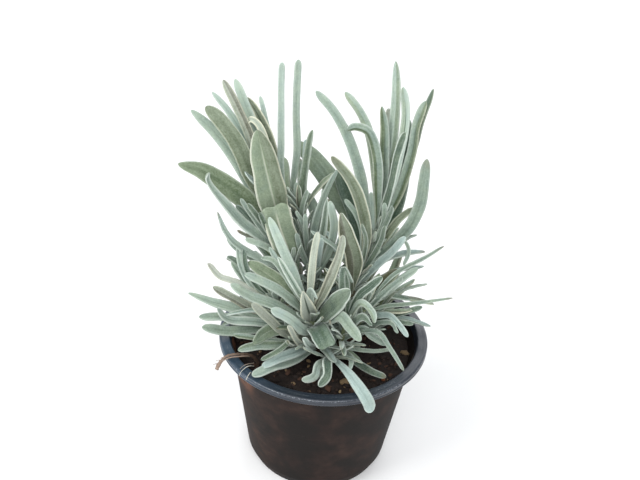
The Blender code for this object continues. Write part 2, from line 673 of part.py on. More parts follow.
def pot_profile():
    """The pot from its inner floor up over the rolled rim and down to its base."""
    neck = POT_HEIGHT - RIM_DEPTH
    points = [(0.0, FLOOR), (BASE_RADIUS - WALL, FLOOR)]
    points.append((CHAMFER_RADIUS - WALL, CHAMFER_HEIGHT + 0.4))
    points.append((wall_radius(neck - NECK_FLARE) - WALL, neck - NECK_FLARE))
    points.append((RIM_INNER_RADIUS - 1.4, neck))
    points.extend(arc((RIM_INNER_RADIUS + 0.6, POT_HEIGHT - LIP_ROUND), LIP_ROUND, 160, 90, 2))
    points.extend(arc((RIM_RADIUS - RIM_ROUND, POT_HEIGHT - RIM_ROUND), RIM_ROUND, 90, 0, 3))
    points.append((RIM_RADIUS - 0.5, neck))
    points.append((NECK_RADIUS, neck))
    points.append((CHAMFER_RADIUS, CHAMFER_HEIGHT))
    points.append((BASE_RADIUS, 0.0))
    points.append((0.0, 0.0))
    return points


def make_pot(collection, cutters):
    """The pot, with drain holes through its base."""
    pot = turned("pot", pot_profile(), POT_STEPS, collection)
    for index in range(DRAIN_HOLES):
        angle = math.tau * (index + 0.5) / DRAIN_HOLES
        place = (MM * DRAIN_CIRCLE_RADIUS * math.cos(angle), MM * DRAIN_CIRCLE_RADIUS * math.sin(angle), 0)
        cutters.objects.link(cylinder("drain", DRAIN_RADIUS, 3 * FLOOR, 8, place))
    boolean(pot, "DIFFERENCE", cutters)
    return pot


def cylinder(name, radius, depth, sides, place):
    """A closed cylinder round a place given in metres, not yet linked."""
    mesh = bpy.data.meshes.new(name)
    shape = bmesh.new()
    bmesh.ops.create_cone(shape, cap_ends=True, segments=sides, radius1=MM * radius, radius2=MM * radius,
                          depth=MM * depth)
    shape.to_mesh(mesh)
    shape.free()
    made = bpy.data.objects.new(name, mesh)
    made.location = place
    made.hide_render = True
    made.display_type = "WIRE"
    return made


def soil_height(x, y):
    """The height of the soil's surface at a place."""
    rough = noise.noise(Vector((x, y, 3.0)) / 7.0) + 0.5 * noise.noise(Vector((x, y, 9.0)) / 3.0)
    return SOIL_LEVEL + SOIL_RELIEF * rough


def make_soil(collection, cutters):
    """The soil: it fills the pot, with a crumbly surface, and a hole for each stem."""
    gap = FIT_GAP + WALL
    top_radius = wall_radius(SOIL_LEVEL) - gap - 0.4
    profile = [(top_radius * ring / SOIL_RINGS, SOIL_LEVEL) for ring in range(SOIL_RINGS + 1)]
    profile.append((wall_radius(CHAMFER_HEIGHT) - gap - 0.2, CHAMFER_HEIGHT + 1.0))
    profile.append((BASE_RADIUS - gap - 0.4, FLOOR + FIT_GAP))
    profile.append((0.0, FLOOR + FIT_GAP))
    soil = bake(turned("soil", profile, SOIL_STEPS, collection))
    for vertex in soil.data.vertices:
        reach = math.hypot(vertex.co.x, vertex.co.y) / MM
        if vertex.co.z > MM * (SOIL_LEVEL - 0.01) and reach < top_radius - 0.1:
            vertex.co.z = MM * soil_height(vertex.co.x / MM, vertex.co.y / MM)
    draw = random.Random(SEED)
    for index in range(CRUMBS):
        cutters.objects.link(crumb(index, draw, top_radius))
    boolean(soil, "UNION", cutters)
    for shoot in SHOOTS.values():
        cutters.objects.link(stem_hole(shoot.stem[0], STEM_RADIUS))
    cutters.objects.link(stem_hole(DRY_STALK[0], DRY_RADIUS))
    boolean(soil, "DIFFERENCE", cutters)
    return soil


def stem_hole(foot, radius):
    """The cutter of the hole that a stem stands in, not yet linked."""
    place = (MM * foot[0], MM * foot[1], MM * (SOIL_LEVEL + HOLE_TOP))
    return cylinder("hole", radius + HOLE_GAP, 2 * (HOLE_DEPTH + HOLE_TOP), HOLE_SIDES, place)


def crumb(index, draw, reach):
    """A lump of soil or bark, half sunk in the surface, not yet linked."""
    radius = reach * math.sqrt(draw.random()) * 0.93
    angle = draw.uniform(0, math.tau)
    x = radius * math.cos(angle)
    y = radius * math.sin(angle)
    size = Vector((draw.uniform(1.0, 2.8), draw.uniform(0.8, 1.8), draw.uniform(0.7, 1.3)))
    mesh = bpy.data.meshes.new("crumb")
    shape = bmesh.new()
    bmesh.ops.create_icosphere(shape, subdivisions=1, radius=MM)
    for vertex in shape.verts:
        vertex.co *= draw.uniform(0.8, 1.15)
    shape.to_mesh(mesh)
    shape.free()
    made = bpy.data.objects.new("crumb", mesh)
    spin = Matrix.Rotation(draw.uniform(0, math.tau), 4, "Z") @ Matrix.Rotation(draw.uniform(-0.5, 0.5), 4, "X")
    made.matrix_world = Matrix.Translation((MM * x, MM * y, MM * soil_height(x, y))) @ spin @ Matrix.Diagonal(
        (*size, 1.0))
    return made


def tube(name, points, radii, collection):
    """A round tube through points in millimetres, as a mesh with welded caps."""
    curve = bpy.data.curves.new(name, "CURVE")
    curve.dimensions = "3D"
    curve.bevel_depth = MM
    curve.bevel_resolution = 1
    curve.use_fill_caps = True
    spline = curve.splines.new("POLY")
    spline.points.add(len(points) - 1)
    for place, point, radius in zip(spline.points, points, radii):
        place.co = (*(MM * point), 1.0)
        place.radius = radius
    guide = bpy.data.objects.new(name + "_guide", curve)
    collection.objects.link(guide)
    bpy.context.view_layer.update()
    evaluated = guide.evaluated_get(bpy.context.evaluated_depsgraph_get())
    mesh = bpy.data.meshes.new_from_object(evaluated)
    shape = bmesh.new()
    shape.from_mesh(mesh)
    bmesh.ops.remove_doubles(shape, verts=shape.verts, dist=0.000001)
    shape.to_mesh(mesh)
    shape.free()
    made = bpy.data.objects.new(name, mesh)
    made.matrix_world = guide.matrix_world
    bpy.data.objects.remove(guide, do_unlink=True)
    collection.objects.link(made)
    return made


def make_stem(name, shoot, collection):
    """The bare stem of a shoot, thinner to its tip."""
    points = stem_points(shoot)
    last = len(points) - 1
    radii = [STEM_RADIUS + (STEM_TIP_RADIUS - STEM_RADIUS) * index / last for index in range(last + 1)]
    return tube(name, points, radii, collection)


def make_dry_stalk(collection):
    """The dead stalk that stands in the soil and lies over the rim."""
    route = smooth_route([Vector(point) for point in DRY_STALK[1:]], 12)
    points = [Vector((*DRY_STALK[0], STEM_FOOT))] + route
    radii = [DRY_RADIUS * (1 - 0.35 * index / len(points)) for index in range(len(points))]
    return tube("dry_stalk", points, radii, collection)


def obstacle(made):
    """A placed solid from an object's mesh, owned by the object's name."""
    mesh = made.data
    vertices = [made.matrix_world @ v.co / MM for v in mesh.vertices]
    faces = [tuple(p.vertices) for p in mesh.polygons]
    return solid_of(made.name, vertices, faces)


def join_leaves(made, blades, cutters):
    """Fuse a shoot's blades to its stem."""
    for index, blade in enumerate(blades):
        vertices, faces = blade_mesh(blade, stations_for(blade))
        mesh_object(f"{made.name}_leaf_{index}", vertices, faces, cutters)
    boolean(made, "UNION", cutters, "MANIFOLD")


def dress(made, look):
    """Give an object its material and smooth shading."""
    made.data.materials.clear()
    made.data.materials.append(look)
    made.data.shade_smooth()
    made.data.set_sharp_from_angle(angle=math.radians(40))


def clear_scene():
    """Remove the objects that a new scene holds."""
    for old in list(bpy.data.objects):
        bpy.data.objects.remove(old, do_unlink=True)


def main():
    """Build the potted plant."""
    clear_scene()
    parts = bpy.data.collections.new(NAME)
    cutters = bpy.data.collections.new("cutters")
    for collection in (parts, cutters):
        bpy.context.scene.collection.children.link(collection)
    pot = make_pot(parts, cutters)
    soil = make_soil(parts, cutters)
    stalk = make_dry_stalk(parts)
    stems = {name: make_stem(name, shoot, parts) for name, shoot in SHOOTS.items()}
    blades = place_leaves([obstacle(made) for made in (pot, soil, stalk, *stems.values())])
    for name, stem in stems.items():
        join_leaves(stem, blades[name], cutters)
    leaf_look = material("felted_leaf", LEAF_COLOUR, 0.85)
    for stem in stems.values():
        dress(stem, leaf_look)
    dress(pot, material("black_plastic", POT_COLOUR, 0.4))
    dress(soil, material("potting_soil", SOIL_COLOUR, 0.95))
    dress(stalk, material("dry_stalk", DRY_COLOUR, 0.9))


main()
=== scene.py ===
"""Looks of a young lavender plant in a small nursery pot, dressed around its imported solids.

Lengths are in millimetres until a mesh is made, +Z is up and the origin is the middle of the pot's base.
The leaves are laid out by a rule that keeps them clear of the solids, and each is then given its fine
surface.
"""

import logging
import math
import random
from dataclasses import dataclass, field, replace
from enum import Enum
from itertools import islice
from typing import Iterator, Sequence

import bmesh
import bpy
import numpy as np
from mathutils import Matrix, Vector, noise
from mathutils.bvhtree import BVHTree


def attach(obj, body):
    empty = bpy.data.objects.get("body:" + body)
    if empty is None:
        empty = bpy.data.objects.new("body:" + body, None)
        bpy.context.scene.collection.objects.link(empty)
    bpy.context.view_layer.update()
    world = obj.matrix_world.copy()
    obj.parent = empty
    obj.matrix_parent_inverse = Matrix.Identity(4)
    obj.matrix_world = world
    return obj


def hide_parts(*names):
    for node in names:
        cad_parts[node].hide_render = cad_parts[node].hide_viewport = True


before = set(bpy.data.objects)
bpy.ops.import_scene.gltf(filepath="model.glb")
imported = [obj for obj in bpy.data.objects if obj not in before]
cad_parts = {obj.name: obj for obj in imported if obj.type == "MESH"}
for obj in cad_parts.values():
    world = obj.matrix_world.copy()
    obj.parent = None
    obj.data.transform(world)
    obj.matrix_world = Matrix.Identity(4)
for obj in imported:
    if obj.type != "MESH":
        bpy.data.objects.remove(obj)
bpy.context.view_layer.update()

MM = 0.001
SEED = 41
BODY = "root"
LOG = logging.getLogger("lavender")

Colour = tuple[float, float, float]
Point = tuple[float, float]
Triple = tuple[float, float, float]


def srgb(red: int, green: int, blue: int) -> Colour:
    """A colour as a shader takes it, from how it looks on a screen.

    Args:
        red: The red part, 0 to 255.
        green: The green part, 0 to 255.
        blue: The blue part, 0 to 255.

    Returns:
        The linear colour.
    """
    parts = []
    for part in (red, green, blue):
        share = part / 255
        parts.append(share / 12.92 if share <= 0.04045 else ((share + 0.055) / 1.055) ** 2.4)
    return tuple(parts)


def eased(low: float, high: float, value: np.ndarray) -> np.ndarray:
    """A smooth step from 0 at low to 1 at high."""
    share = np.clip((value - low) / (high - low), 0.0, 1.0)
    return share * share * (3 - 2 * share)


# Shader tools


class Wire:
    """A socket that takes part in shader maths, so that an expression adds its Math nodes."""

    def __init__(self, paint: "Paint", socket: bpy.types.NodeSocket) -> None:
        """Wrap an output socket of a material."""
        self.paint = paint
        self.socket = socket

    def math(self, operation: str, *others: "Wire | float", first: "Wire | float | None" = None) -> "Wire":
        """A Math node on this value.

        Args:
            operation: The Math node's operation.
            others: The values that follow this one.
            first: A value that stands before this one.

        Returns:
            The node's output.
        """
        values = [self, *others] if first is None else [first, self, *others]
        sockets = dict(enumerate(values))
        return self.paint.node("ShaderNodeMath", {"operation": operation}, sockets)

    def __add__(self, other: "Wire | float") -> "Wire":
        """The sum."""
        return self.math("ADD", other)

    __radd__ = __add__

    def __sub__(self, other: "Wire | float") -> "Wire":
        """The difference."""
        return self.math("SUBTRACT", other)

    def __rsub__(self, other: float) -> "Wire":
        """The difference from a number."""
        return self.math("SUBTRACT", first=other)

    def __mul__(self, other: "Wire | float") -> "Wire":
        """The product."""
        return self.math("MULTIPLY", other)

    __rmul__ = __mul__

    def __abs__(self) -> "Wire":
        """The size without its sign."""
        return self.math("ABSOLUTE")

    def clamped(self) -> "Wire":
        """The value held between 0 and 1."""
        return self.paint.node("ShaderNodeClamp", {}, {"Value": self})

    def step(self, low: float, high: float) -> "Wire":
        """A smooth step of the value.

        Args:
            low: Where the step is still 0.
            high: Where it has reached 1.

        Returns:
            The step, from 0 to 1.
        """
        sockets = {"Value": self, 1: low, 2: high, 3: 0.0, 4: 1.0}
        return self.paint.node("ShaderNodeMapRange", {"interpolation_type": "SMOOTHSTEP"}, sockets)

    def past(self, low: float, high: float) -> "Wire":
        """A smooth step of a length in metres, between two places in millimetres."""
        return self.step(MM * low, MM * high)

    def spread(self, amount: float) -> "Wire":
        """A noise moved from about a half to about 0, and scaled."""
        return (self - 0.5) * amount


class Paint:
    """A material's node tree, with the nodes that every finish here needs."""

    def __init__(self, name: str) -> None:
        """Start a material.

        Args:
            name: The material's name.
        """
        self.material = bpy.data.materials.new(name)
        self.material.use_nodes = True
        self.tree = self.material.node_tree
        self.shader = self.tree.nodes["Principled BSDF"]

    def node(self, kind: str, settings: dict, sockets: dict, output: int | str = 0) -> Wire:
        """Any node.

        Args:
            kind: The node's type.
            settings: Its settings, set first. The key stops holds a ramp's places and colours.
            sockets: What its inputs take, by name or number: values or wires.
            output: The output to give back.

        Returns:
            The output as a wire.
        """
        made = self.tree.nodes.new(kind)
        for key, value in settings.items():
            if key == "stops":
                for stop, (place, colour) in zip(made.color_ramp.elements, value):
                    stop.position = place
                    stop.color = (*colour, 1.0)
            else:
                setattr(made, key, value)
        for key, value in sockets.items():
            self.feed(made.inputs[key], value)
        return Wire(self, made.outputs[output])

    def feed(self, socket: bpy.types.NodeSocket, value: "Wire | float | Sequence[float]") -> None:
        """Give an input its value or its link.

        Args:
            socket: The input.
            value: A wire, a number, or a vector or colour.
        """
        if isinstance(value, Wire):
            self.tree.links.new(value.socket, socket)
        elif isinstance(value, (int, float)):
            socket.default_value = value
        else:
            socket.default_value = (*value, 1.0) if len(socket.default_value) == 4 else tuple(value)

    def set(self, **values: "Wire | float | Sequence[float]") -> None:
        """Give the surface shader its inputs, with underscores for the spaces in their names."""
        for key, value in values.items():
            self.feed(self.shader.inputs[key.replace("_", " ")], value)

    def mix(self, share: "Wire | float", low: "Wire | Colour", high: "Wire | Colour") -> Wire:
        """A blend of two colours, by the share of the second."""
        return self.node("ShaderNodeMix", {"data_type": "RGBA"}, {0: share, 6: low, 7: high}, 2)

    def split(self, vector: Wire) -> tuple[Wire, ...]:
        """The X, Y and Z of a vector."""
        node = self.node("ShaderNodeSeparateXYZ", {}, {0: vector}).socket.node
        return tuple(Wire(self, output) for output in node.outputs)

    def parts(self, name: str) -> tuple[Wire, ...]:
        """The X, Y and Z of a vector that the mesh holds at each vertex, by its name."""
        return self.split(self.node("ShaderNodeAttribute", {"attribute_name": name}, {}, "Vector"))

    def place(self) -> Wire:
        """The point on the object, in metres."""
        return self.node("ShaderNodeTexCoord", {}, {}, "Object")

    def grain(self, size: float, detail: float = 2.0, stretch: Triple = (1.0, 1.0, 1.0)) -> Wire:
        """Noise of a given grain.

        Args:
            size: The size of its lumps in millimetres.
            detail: How many finer layers it has.
            stretch: How much finer it is along each axis.

        Returns:
            The noise, about 0.5.
        """
        scaled = self.node("ShaderNodeVectorMath", {"operation": "MULTIPLY"}, {0: self.place(), 1: stretch})
        sockets = {"Vector": scaled, "Scale": 1 / (MM * size), "Detail": detail, "Roughness": 0.55}
        return self.node("ShaderNodeTexNoise", {}, sockets, 0)

    def bump(self, height: Wire, depth: float, strength: float = 0.6) -> Wire:
        """A normal bumped by a relief from 0 to 1, which is so many millimetres deep."""
        sockets = {"Strength": strength, "Distance": MM * depth, "Height": height}
        return self.node("ShaderNodeBump", {}, sockets, "Normal")

    def streaks(self, across: Wire, along: Wire, own: Wire) -> Wire:
        """Noise drawn out along a leaf, moved by the leaf's own number so that no two share it."""
        spot = self.node("ShaderNodeCombineXYZ", {}, {0: across * 2.4, 1: along * 1.5, 2: own})
        return self.node("ShaderNodeTexNoise", {}, {"Vector": spot, "Scale": 1.0, "Detail": 2.0}, 0)


# Finishes


class Tone(Enum):
    """How a leaf's felt looks: how warm, from blue-green to olive, and how pale."""

    BLUE = (0.0, 0.8)
    MIST = (0.3, 0.92)
    CREAM = (0.9, 0.88)
    PALE = (0.34, 0.7)
    SAGE = (0.36, 0.5)
    GREY = (0.9, 0.54)
    DUSK = (0.32, 0.1)
    JADE = (0.5, 0.48)
    FRESH = (0.52, 0.22)
    MOSS = (0.66, 0.46)
    OLIVE = (0.78, 0.26)
    HUSK = (0.88, 0.22)
    BROWN = (0.96, 0.2)


@dataclass(frozen=True)
class LeafFelt:
    """The woolly skin of a leaf, with pale margins and midrib, and tips that have dried."""

    cool_deep: Colour = srgb(64, 84, 76)
    cool_light: Colour = srgb(165, 183, 178)
    olive_deep: Colour = srgb(77, 92, 63)
    olive_light: Colour = srgb(167, 181, 159)
    brown_deep: Colour = srgb(80, 82, 62)
    brown_light: Colour = srgb(177, 183, 173)
    # The margins' pale colours are partly the felt's whiter hairs and partly painted rim light.
    margin: Colour = srgb(200, 209, 200)
    hem: Colour = srgb(204, 205, 184)
    # Painted shade for the groove along the midrib.
    groove_shade: Colour = srgb(58, 74, 58)
    dried: Colour = srgb(110, 92, 72)
    brown_from: float = 0.76
    groove_side: Point = (0.03, 0.24)
    ridge_side: Point = (0.02, 0.1)
    lines_end: Point = (0.75, 1.0)
    dried_end: Point = (0.9, 1.0)

    def make(self) -> bpy.types.Material:
        """Make the felt, which reads each vertex's tone, place, pale margin, painted half shade and leaf
        number.

        Returns:
            The material.
        """
        paint = Paint("leaf_felt")
        warm, pale, dry = paint.parts("tone")
        across, along, vein_and_groove_shade = paint.parts("place")
        # The pale margin, the painted shade on one half of the leaf, and the leaf's own number.
        rim, lean, own = paint.parts("marks")
        aside = abs(across)
        blotch = paint.grain(5.0)
        wool = paint.grain(0.8, 3.0)
        hairs = paint.grain(0.25, 1.0)
        streak = paint.streaks(across, along, own)
        # Painted shade: one half of the leaf is made darker and browner.
        darker = lean.clamped()
        warmth = warm + darker * 0.6
        mottle = wool.spread(0.6) + hairs.spread(0.5) + blotch.spread(0.35) + streak.spread(0.6)
        paleness = (pale + mottle + (along - 0.6) * 0.2 - darker * 0.6).clamped()
        cool = paint.mix(paleness, self.cool_deep, self.cool_light)
        olive = paint.mix(paleness, self.olive_deep, self.olive_light)
        brown = paint.mix(paleness, self.brown_deep, self.brown_light)
        body = paint.mix(((warmth + blotch.spread(0.6)) * 1.4).clamped(), cool, olive)
        body = paint.mix(((warmth - self.brown_from) * 5.0).clamped(), body, brown)
        fading = 1 - along.step(*self.lines_end)
        # Painted shade in the midrib's groove, fading out towards the tip.
        groove = (vein_and_groove_shade * -1.0).clamped() * (1 - aside.step(*self.groove_side)) * fading
        body = paint.mix((groove * (0.5 + wool)).clamped(), body, self.groove_shade)
        ridge = vein_and_groove_shade.clamped() * (1 - aside.step(*self.ridge_side)) * fading
        # Pale margin: partly whiter hairs, partly painted rim light.
        edge = rim * (0.35 + 0.7 * wool)
        pale_line = paint.mix(warmth.step(0.5, 0.8), self.margin, self.hem)
        felted = paint.mix((edge + ridge * 0.8).clamped(), body, pale_line)
        withered = dry * (along + blotch.spread(0.2) + wool.spread(0.1)).step(*self.dried_end)
        relief = hairs * 0.4 + wool * 0.6
        paint.set(
            Base_Color=paint.mix(withered.clamped(), felted, self.dried),
            Roughness=0.78 + 0.14 * wool,
            Specular_IOR_Level=0.2,
            Sheen_Weight=0.35,
            Sheen_Roughness=0.4,
            Sheen_Tint=(0.95, 1.0, 0.98),
            Normal=paint.bump(relief, 0.4, 0.7),
        )
        return paint.material


@dataclass(frozen=True)
class StemSkin:
    """Green felt on the young stem, bark where it leaves the soil."""

    felt: Colour = srgb(140, 150, 118)
    bark: Colour = srgb(98, 78, 62)
    scar: Colour = srgb(70, 52, 42)

    def make(self) -> bpy.types.Material:
        """Make the skin, browner towards the foot.

        Returns:
            The material.
        """
        paint = Paint("stem_skin")
        _, along, _ = paint.parts("place")
        streak = paint.grain(0.7, 3.0, (1.0, 1.0, 0.25))
        wool = paint.grain(0.3)
        green = (along + streak.spread(0.5)).step(0.3, 0.62)
        wood = paint.mix(streak.step(0.35, 0.7), self.scar, self.bark)
        paint.set(
            Base_Color=paint.mix(green, wood, self.felt),
            Roughness=0.85,
            Specular_IOR_Level=0.2,
            Normal=paint.bump(streak * 0.6 + wool * 0.4, 0.3),
        )
        return paint.material


@dataclass(frozen=True)
class NurseryPlastic:
    """Thin black plastic: a satin rim, a dull wall with dust, rust-red smears and fine scuffs.

    The rim's blue tint on the black plastic, bluer and paler on its left side, is painted sky reflection.
    """

    # Dark plastic with a blue tint of painted sky reflection.
    rim: Colour = srgb(18, 28, 41)
    wall: Colour = srgb(24, 20, 18)
    rust: Colour = srgb(44, 30, 26)
    dust: Colour = srgb(78, 61, 53)
    earth: Colour = srgb(116, 80, 62)
    # Painted sky reflection on the rim, most on its left side.
    sky_reflection: Colour = srgb(42, 65, 84)
    scuff: Colour = srgb(138, 146, 154)
    neck: float = 74.6
    top: float = 78.0
    # Where the wall turns paler and browner towards its left side.
    paler_side: Point = (12.0, 48.0)
    reflection_side: Point = (12.0, 50.0)
    spill_left: Point = (32.0, 38.0)
    spill_front: Point = (1.0, 8.0)
    spill_height: Point = (52.0, 67.0)

    def make(self) -> bpy.types.Material:
        """Make the plastic, which knows the rim from the wall by height, and its left side by its place.

        Returns:
            The material.
        """
        paint = Paint("nursery_plastic")
        x, y, height = paint.split(paint.place())
        left = x * -1.0
        front = y * -1.0
        cloud = paint.grain(16.0, 3.0)
        smear = paint.grain(7.0, 4.0, (1.0, 1.0, 2.2))
        scrape = paint.grain(1.6, 4.0, (0.16, 0.16, 2.6))
        speck = paint.grain(0.7, 3.0)
        on_rim = height.past(self.neck - 0.3, self.neck + 0.1)
        # Dusty patches, and the wall paler and browner towards its left side.
        dust_and_paler_left = (cloud.step(0.5, 0.72) * 0.3 + left.past(*self.paler_side) * 0.35) * smear.step(0.3, 0.7)
        reddish = cloud.step(0.38, 0.66) * 0.6
        worn = scrape.step(0.6, 0.8) * 0.2
        wall = paint.mix(reddish.clamped(), self.wall, self.rust)
        wall = paint.mix(dust_and_paler_left.clamped(), wall, self.dust)
        wall = paint.mix(worn, wall, self.dust)
        spilt = left.past(*self.spill_left) * front.past(*self.spill_front)
        spilt = spilt * height.past(*self.spill_height) * (smear * 0.6 + speck * 0.4).step(0.34, 0.52)
        wall = paint.mix(spilt, wall, self.earth)
        crown = height.past(self.top - 1.3, self.top - 0.5)
        crown = crown * (1 - height.past(self.top - 0.35, self.top - 0.05))
        chafed = (crown * speck.step(0.46, 0.7) * cloud.step(0.34, 0.6) * 0.8).clamped()
        # Painted sky reflection, towards the rim's left side.
        reflected_sky = (left.past(*self.reflection_side) * (0.3 + cloud)).clamped()
        rim = paint.mix(reflected_sky, self.rim, self.sky_reflection)
        rim = paint.mix(chafed, rim, self.scuff)
        paint.set(
            Base_Color=paint.mix(on_rim, wall, rim),
            Roughness=0.7 - on_rim * 0.2 + speck.spread(0.12) + dust_and_paler_left * 0.2,
            Specular_IOR_Level=0.18,
            Coat_Weight=on_rim * (0.5 + 0.9 * cloud),
            Coat_Roughness=0.3,
            Normal=paint.bump(scrape * 0.6 + speck * 0.4, 0.12, 0.35),
        )
        return paint.material


@dataclass(frozen=True)
class PottingSoil:
    """Damp dark soil, with lumps whose colour each vertex holds as a tone."""

    dark: Colour = srgb(24, 18, 16)
    brown: Colour = srgb(60, 45, 37)
    chip: Colour = srgb(128, 76, 42)
    grit: Colour = srgb(142, 122, 90)

    def make(self) -> bpy.types.Material:
        """Make the earth: tone X is how brown, Y how orange, Z how stony.

        Returns:
            The material.
        """
        paint = Paint("potting_soil")
        brown, orange, stony = paint.parts("tone")
        lump = paint.grain(2.2, 4.0)
        crumb = paint.grain(0.5, 3.0)
        share = (brown + lump.spread(0.9) + crumb.spread(0.4)).clamped()
        earth = paint.mix(share, self.dark, self.brown)
        bark = paint.mix((orange * (0.55 + 0.6 * crumb)).clamped(), earth, self.chip)
        paint.set(
            Base_Color=paint.mix((stony * (0.6 + 0.5 * lump)).clamped(), bark, self.grit),
            Roughness=0.9 - 0.12 * crumb,
            Specular_IOR_Level=0.3,
            Normal=paint.bump(crumb * 0.6 + lump * 0.4, 0.5, 0.8),
        )
        return paint.material


@dataclass(frozen=True)
class DeadFibre:
    """Dead stalk and root: brown to pinkish straw, with fine streaks."""

    brown: Colour = srgb(84, 68, 58)
    straw: Colour = srgb(172, 152, 136)
    bleached: Colour = srgb(212, 210, 198)

    def make(self) -> bpy.types.Material:
        """Make the fibre: tone X is how pale, Y how bleached.

        Returns:
            The material.
        """
        paint = Paint("dead_fibre")
        pale, bleached, _ = paint.parts("tone")
        streak = paint.grain(0.8, 4.0, (0.5, 1.0, 1.0))
        share = (pale + streak.spread(0.8)).clamped()
        dull = paint.mix(share, self.brown, self.straw)
        paint.set(
            Base_Color=paint.mix(bleached.clamped(), dull, self.bleached),
            Roughness=0.88,
            Specular_IOR_Level=0.2,
            Normal=paint.bump(streak, 0.3, 0.7),
        )
        return paint.material


@dataclass(frozen=True)
class StudioPaper:
    """The pale floor."""

    colour: Colour = (0.88, 0.88, 0.88)

    def make(self) -> bpy.types.Material:
        """Make the paper, with a faint grain.

        Returns:
            The material.
        """
        paint = Paint("studio_paper")
        faint = paint.grain(30.0)
        darker = tuple(0.985 * part for part in self.colour)
        paint.set(Base_Color=paint.mix(faint, self.colour, darker), Roughness=0.9, Specular_IOR_Level=0.1)
        return paint.material


# The plant's layout


@dataclass(frozen=True)
class Sight:
    """The photograph's view: a point of the picture and a depth give a place."""

    eye: Triple = (-5.2, -349.9, 344.8)
    pitch: float = math.radians(31.1)
    roll: float = math.radians(3.85)
    focal: float = 825.0
    middle: Point = (320.0, 240.0)

    def axes(self) -> tuple[Vector, Vector, Vector]:
        """The view's own directions.

        Returns:
            The right, the top and the way ahead.
        """
        ahead = Vector((0, math.cos(self.pitch), -math.sin(self.pitch)))
        level = Vector((1, 0, 0))
        above = level.cross(ahead)
        right = math.cos(self.roll) * level + math.sin(self.roll) * above
        top = math.cos(self.roll) * above - math.sin(self.roll) * level
        return right, top, ahead

    def ray(self, point: Point) -> Vector:
        """Look through a point of the picture.

        Args:
            point: The picture point.

        Returns:
            The direction of the line of sight.
        """
        right, top, ahead = self.axes()
        across = (point[0] - self.middle[0]) / self.focal
        up = (self.middle[1] - point[1]) / self.focal
        return ahead + across * right + up * top

    def met(self, point: Point, axis: int, value: float) -> Vector:
        """The place on a line of sight where one of its coordinates has a given value.

        Args:
            point: The picture point.
            axis: The number of the coordinate, from 0 for X.
            value: Its value.

        Returns:
            The place.
        """
        ray = self.ray(point)
        eye = Vector(self.eye)
        return eye + ray * ((value - eye[axis]) / ray[axis])

    def at(self, point: Point, depth: float) -> Vector:
        """The place on a line of sight at a depth, which is its Y."""
        return self.met(point, 1, depth)

    def on_level(self, point: Point, height: float) -> Vector:
        """The place on a line of sight at a height, which is its Z."""
        return self.met(point, 2, height)


SIGHT = Sight()
EYE = Vector(SIGHT.eye)
UP = Vector((0, 0, 1))


@dataclass(frozen=True)
class Shape:
    """How a leaf's fine surface departs from a plain flat blade. Angles are in degrees.

    Curl rolls its tip up, or down below 0, and None lets the draw decide. Crease folds it further all along
    and cup at its end. Taper is 0 for a blunt end and 1 for one that narrows from the widest place, the
    belly. Wide scales the width, notch cuts a heart into the end, and dry withers the tip. Rim is how pale
    the margins are, partly their whiter hairs and partly painted rim light. Vein is a pale midrib, or below 0
    painted shade in the groove along it, and rib the pale midrib beneath, or below 0 painted shade there.
    Split is painted shade: how much darker the half towards the lower left of the front view is, or below 0
    the other half.
    """

    curl: float | None = None
    cup: float = 0.0
    crease: float = 0.0
    taper: float = 0.2
    belly: float = 0.45
    wide: float = 1.0
    notch: float = 0.0
    dry: float = 0.0
    # How pale the margins are: partly whiter hairs, partly painted rim light.
    rim: float = 0.6
    # Below 0, painted shade in the midrib's groove.
    vein_and_groove_shade: float = -0.2
    rib: float = 0.2
    # Painted shade on one half of the leaf.
    split: float = 0.0


@dataclass(frozen=True)
class Leaf:
    """One sighted blade: picture points from its tip inwards, its sizes and its looks.

    Depth is its tip's Y and root its height on the stem. Turn is the angle from facing the eye, so that
    past 90 the underside shows, and fold lifts both halves.
    """

    way: tuple
    depth: float
    root: float
    width: float
    turn: float
    fold: float
    tone: Tone = Tone.SAGE
    shape: Shape = Shape()


@dataclass(frozen=True)
class Shoot:
    """One leafy stem: the points of its stem, and the leaves that the front view shows."""

    stem: tuple
    leaves: tuple = ()


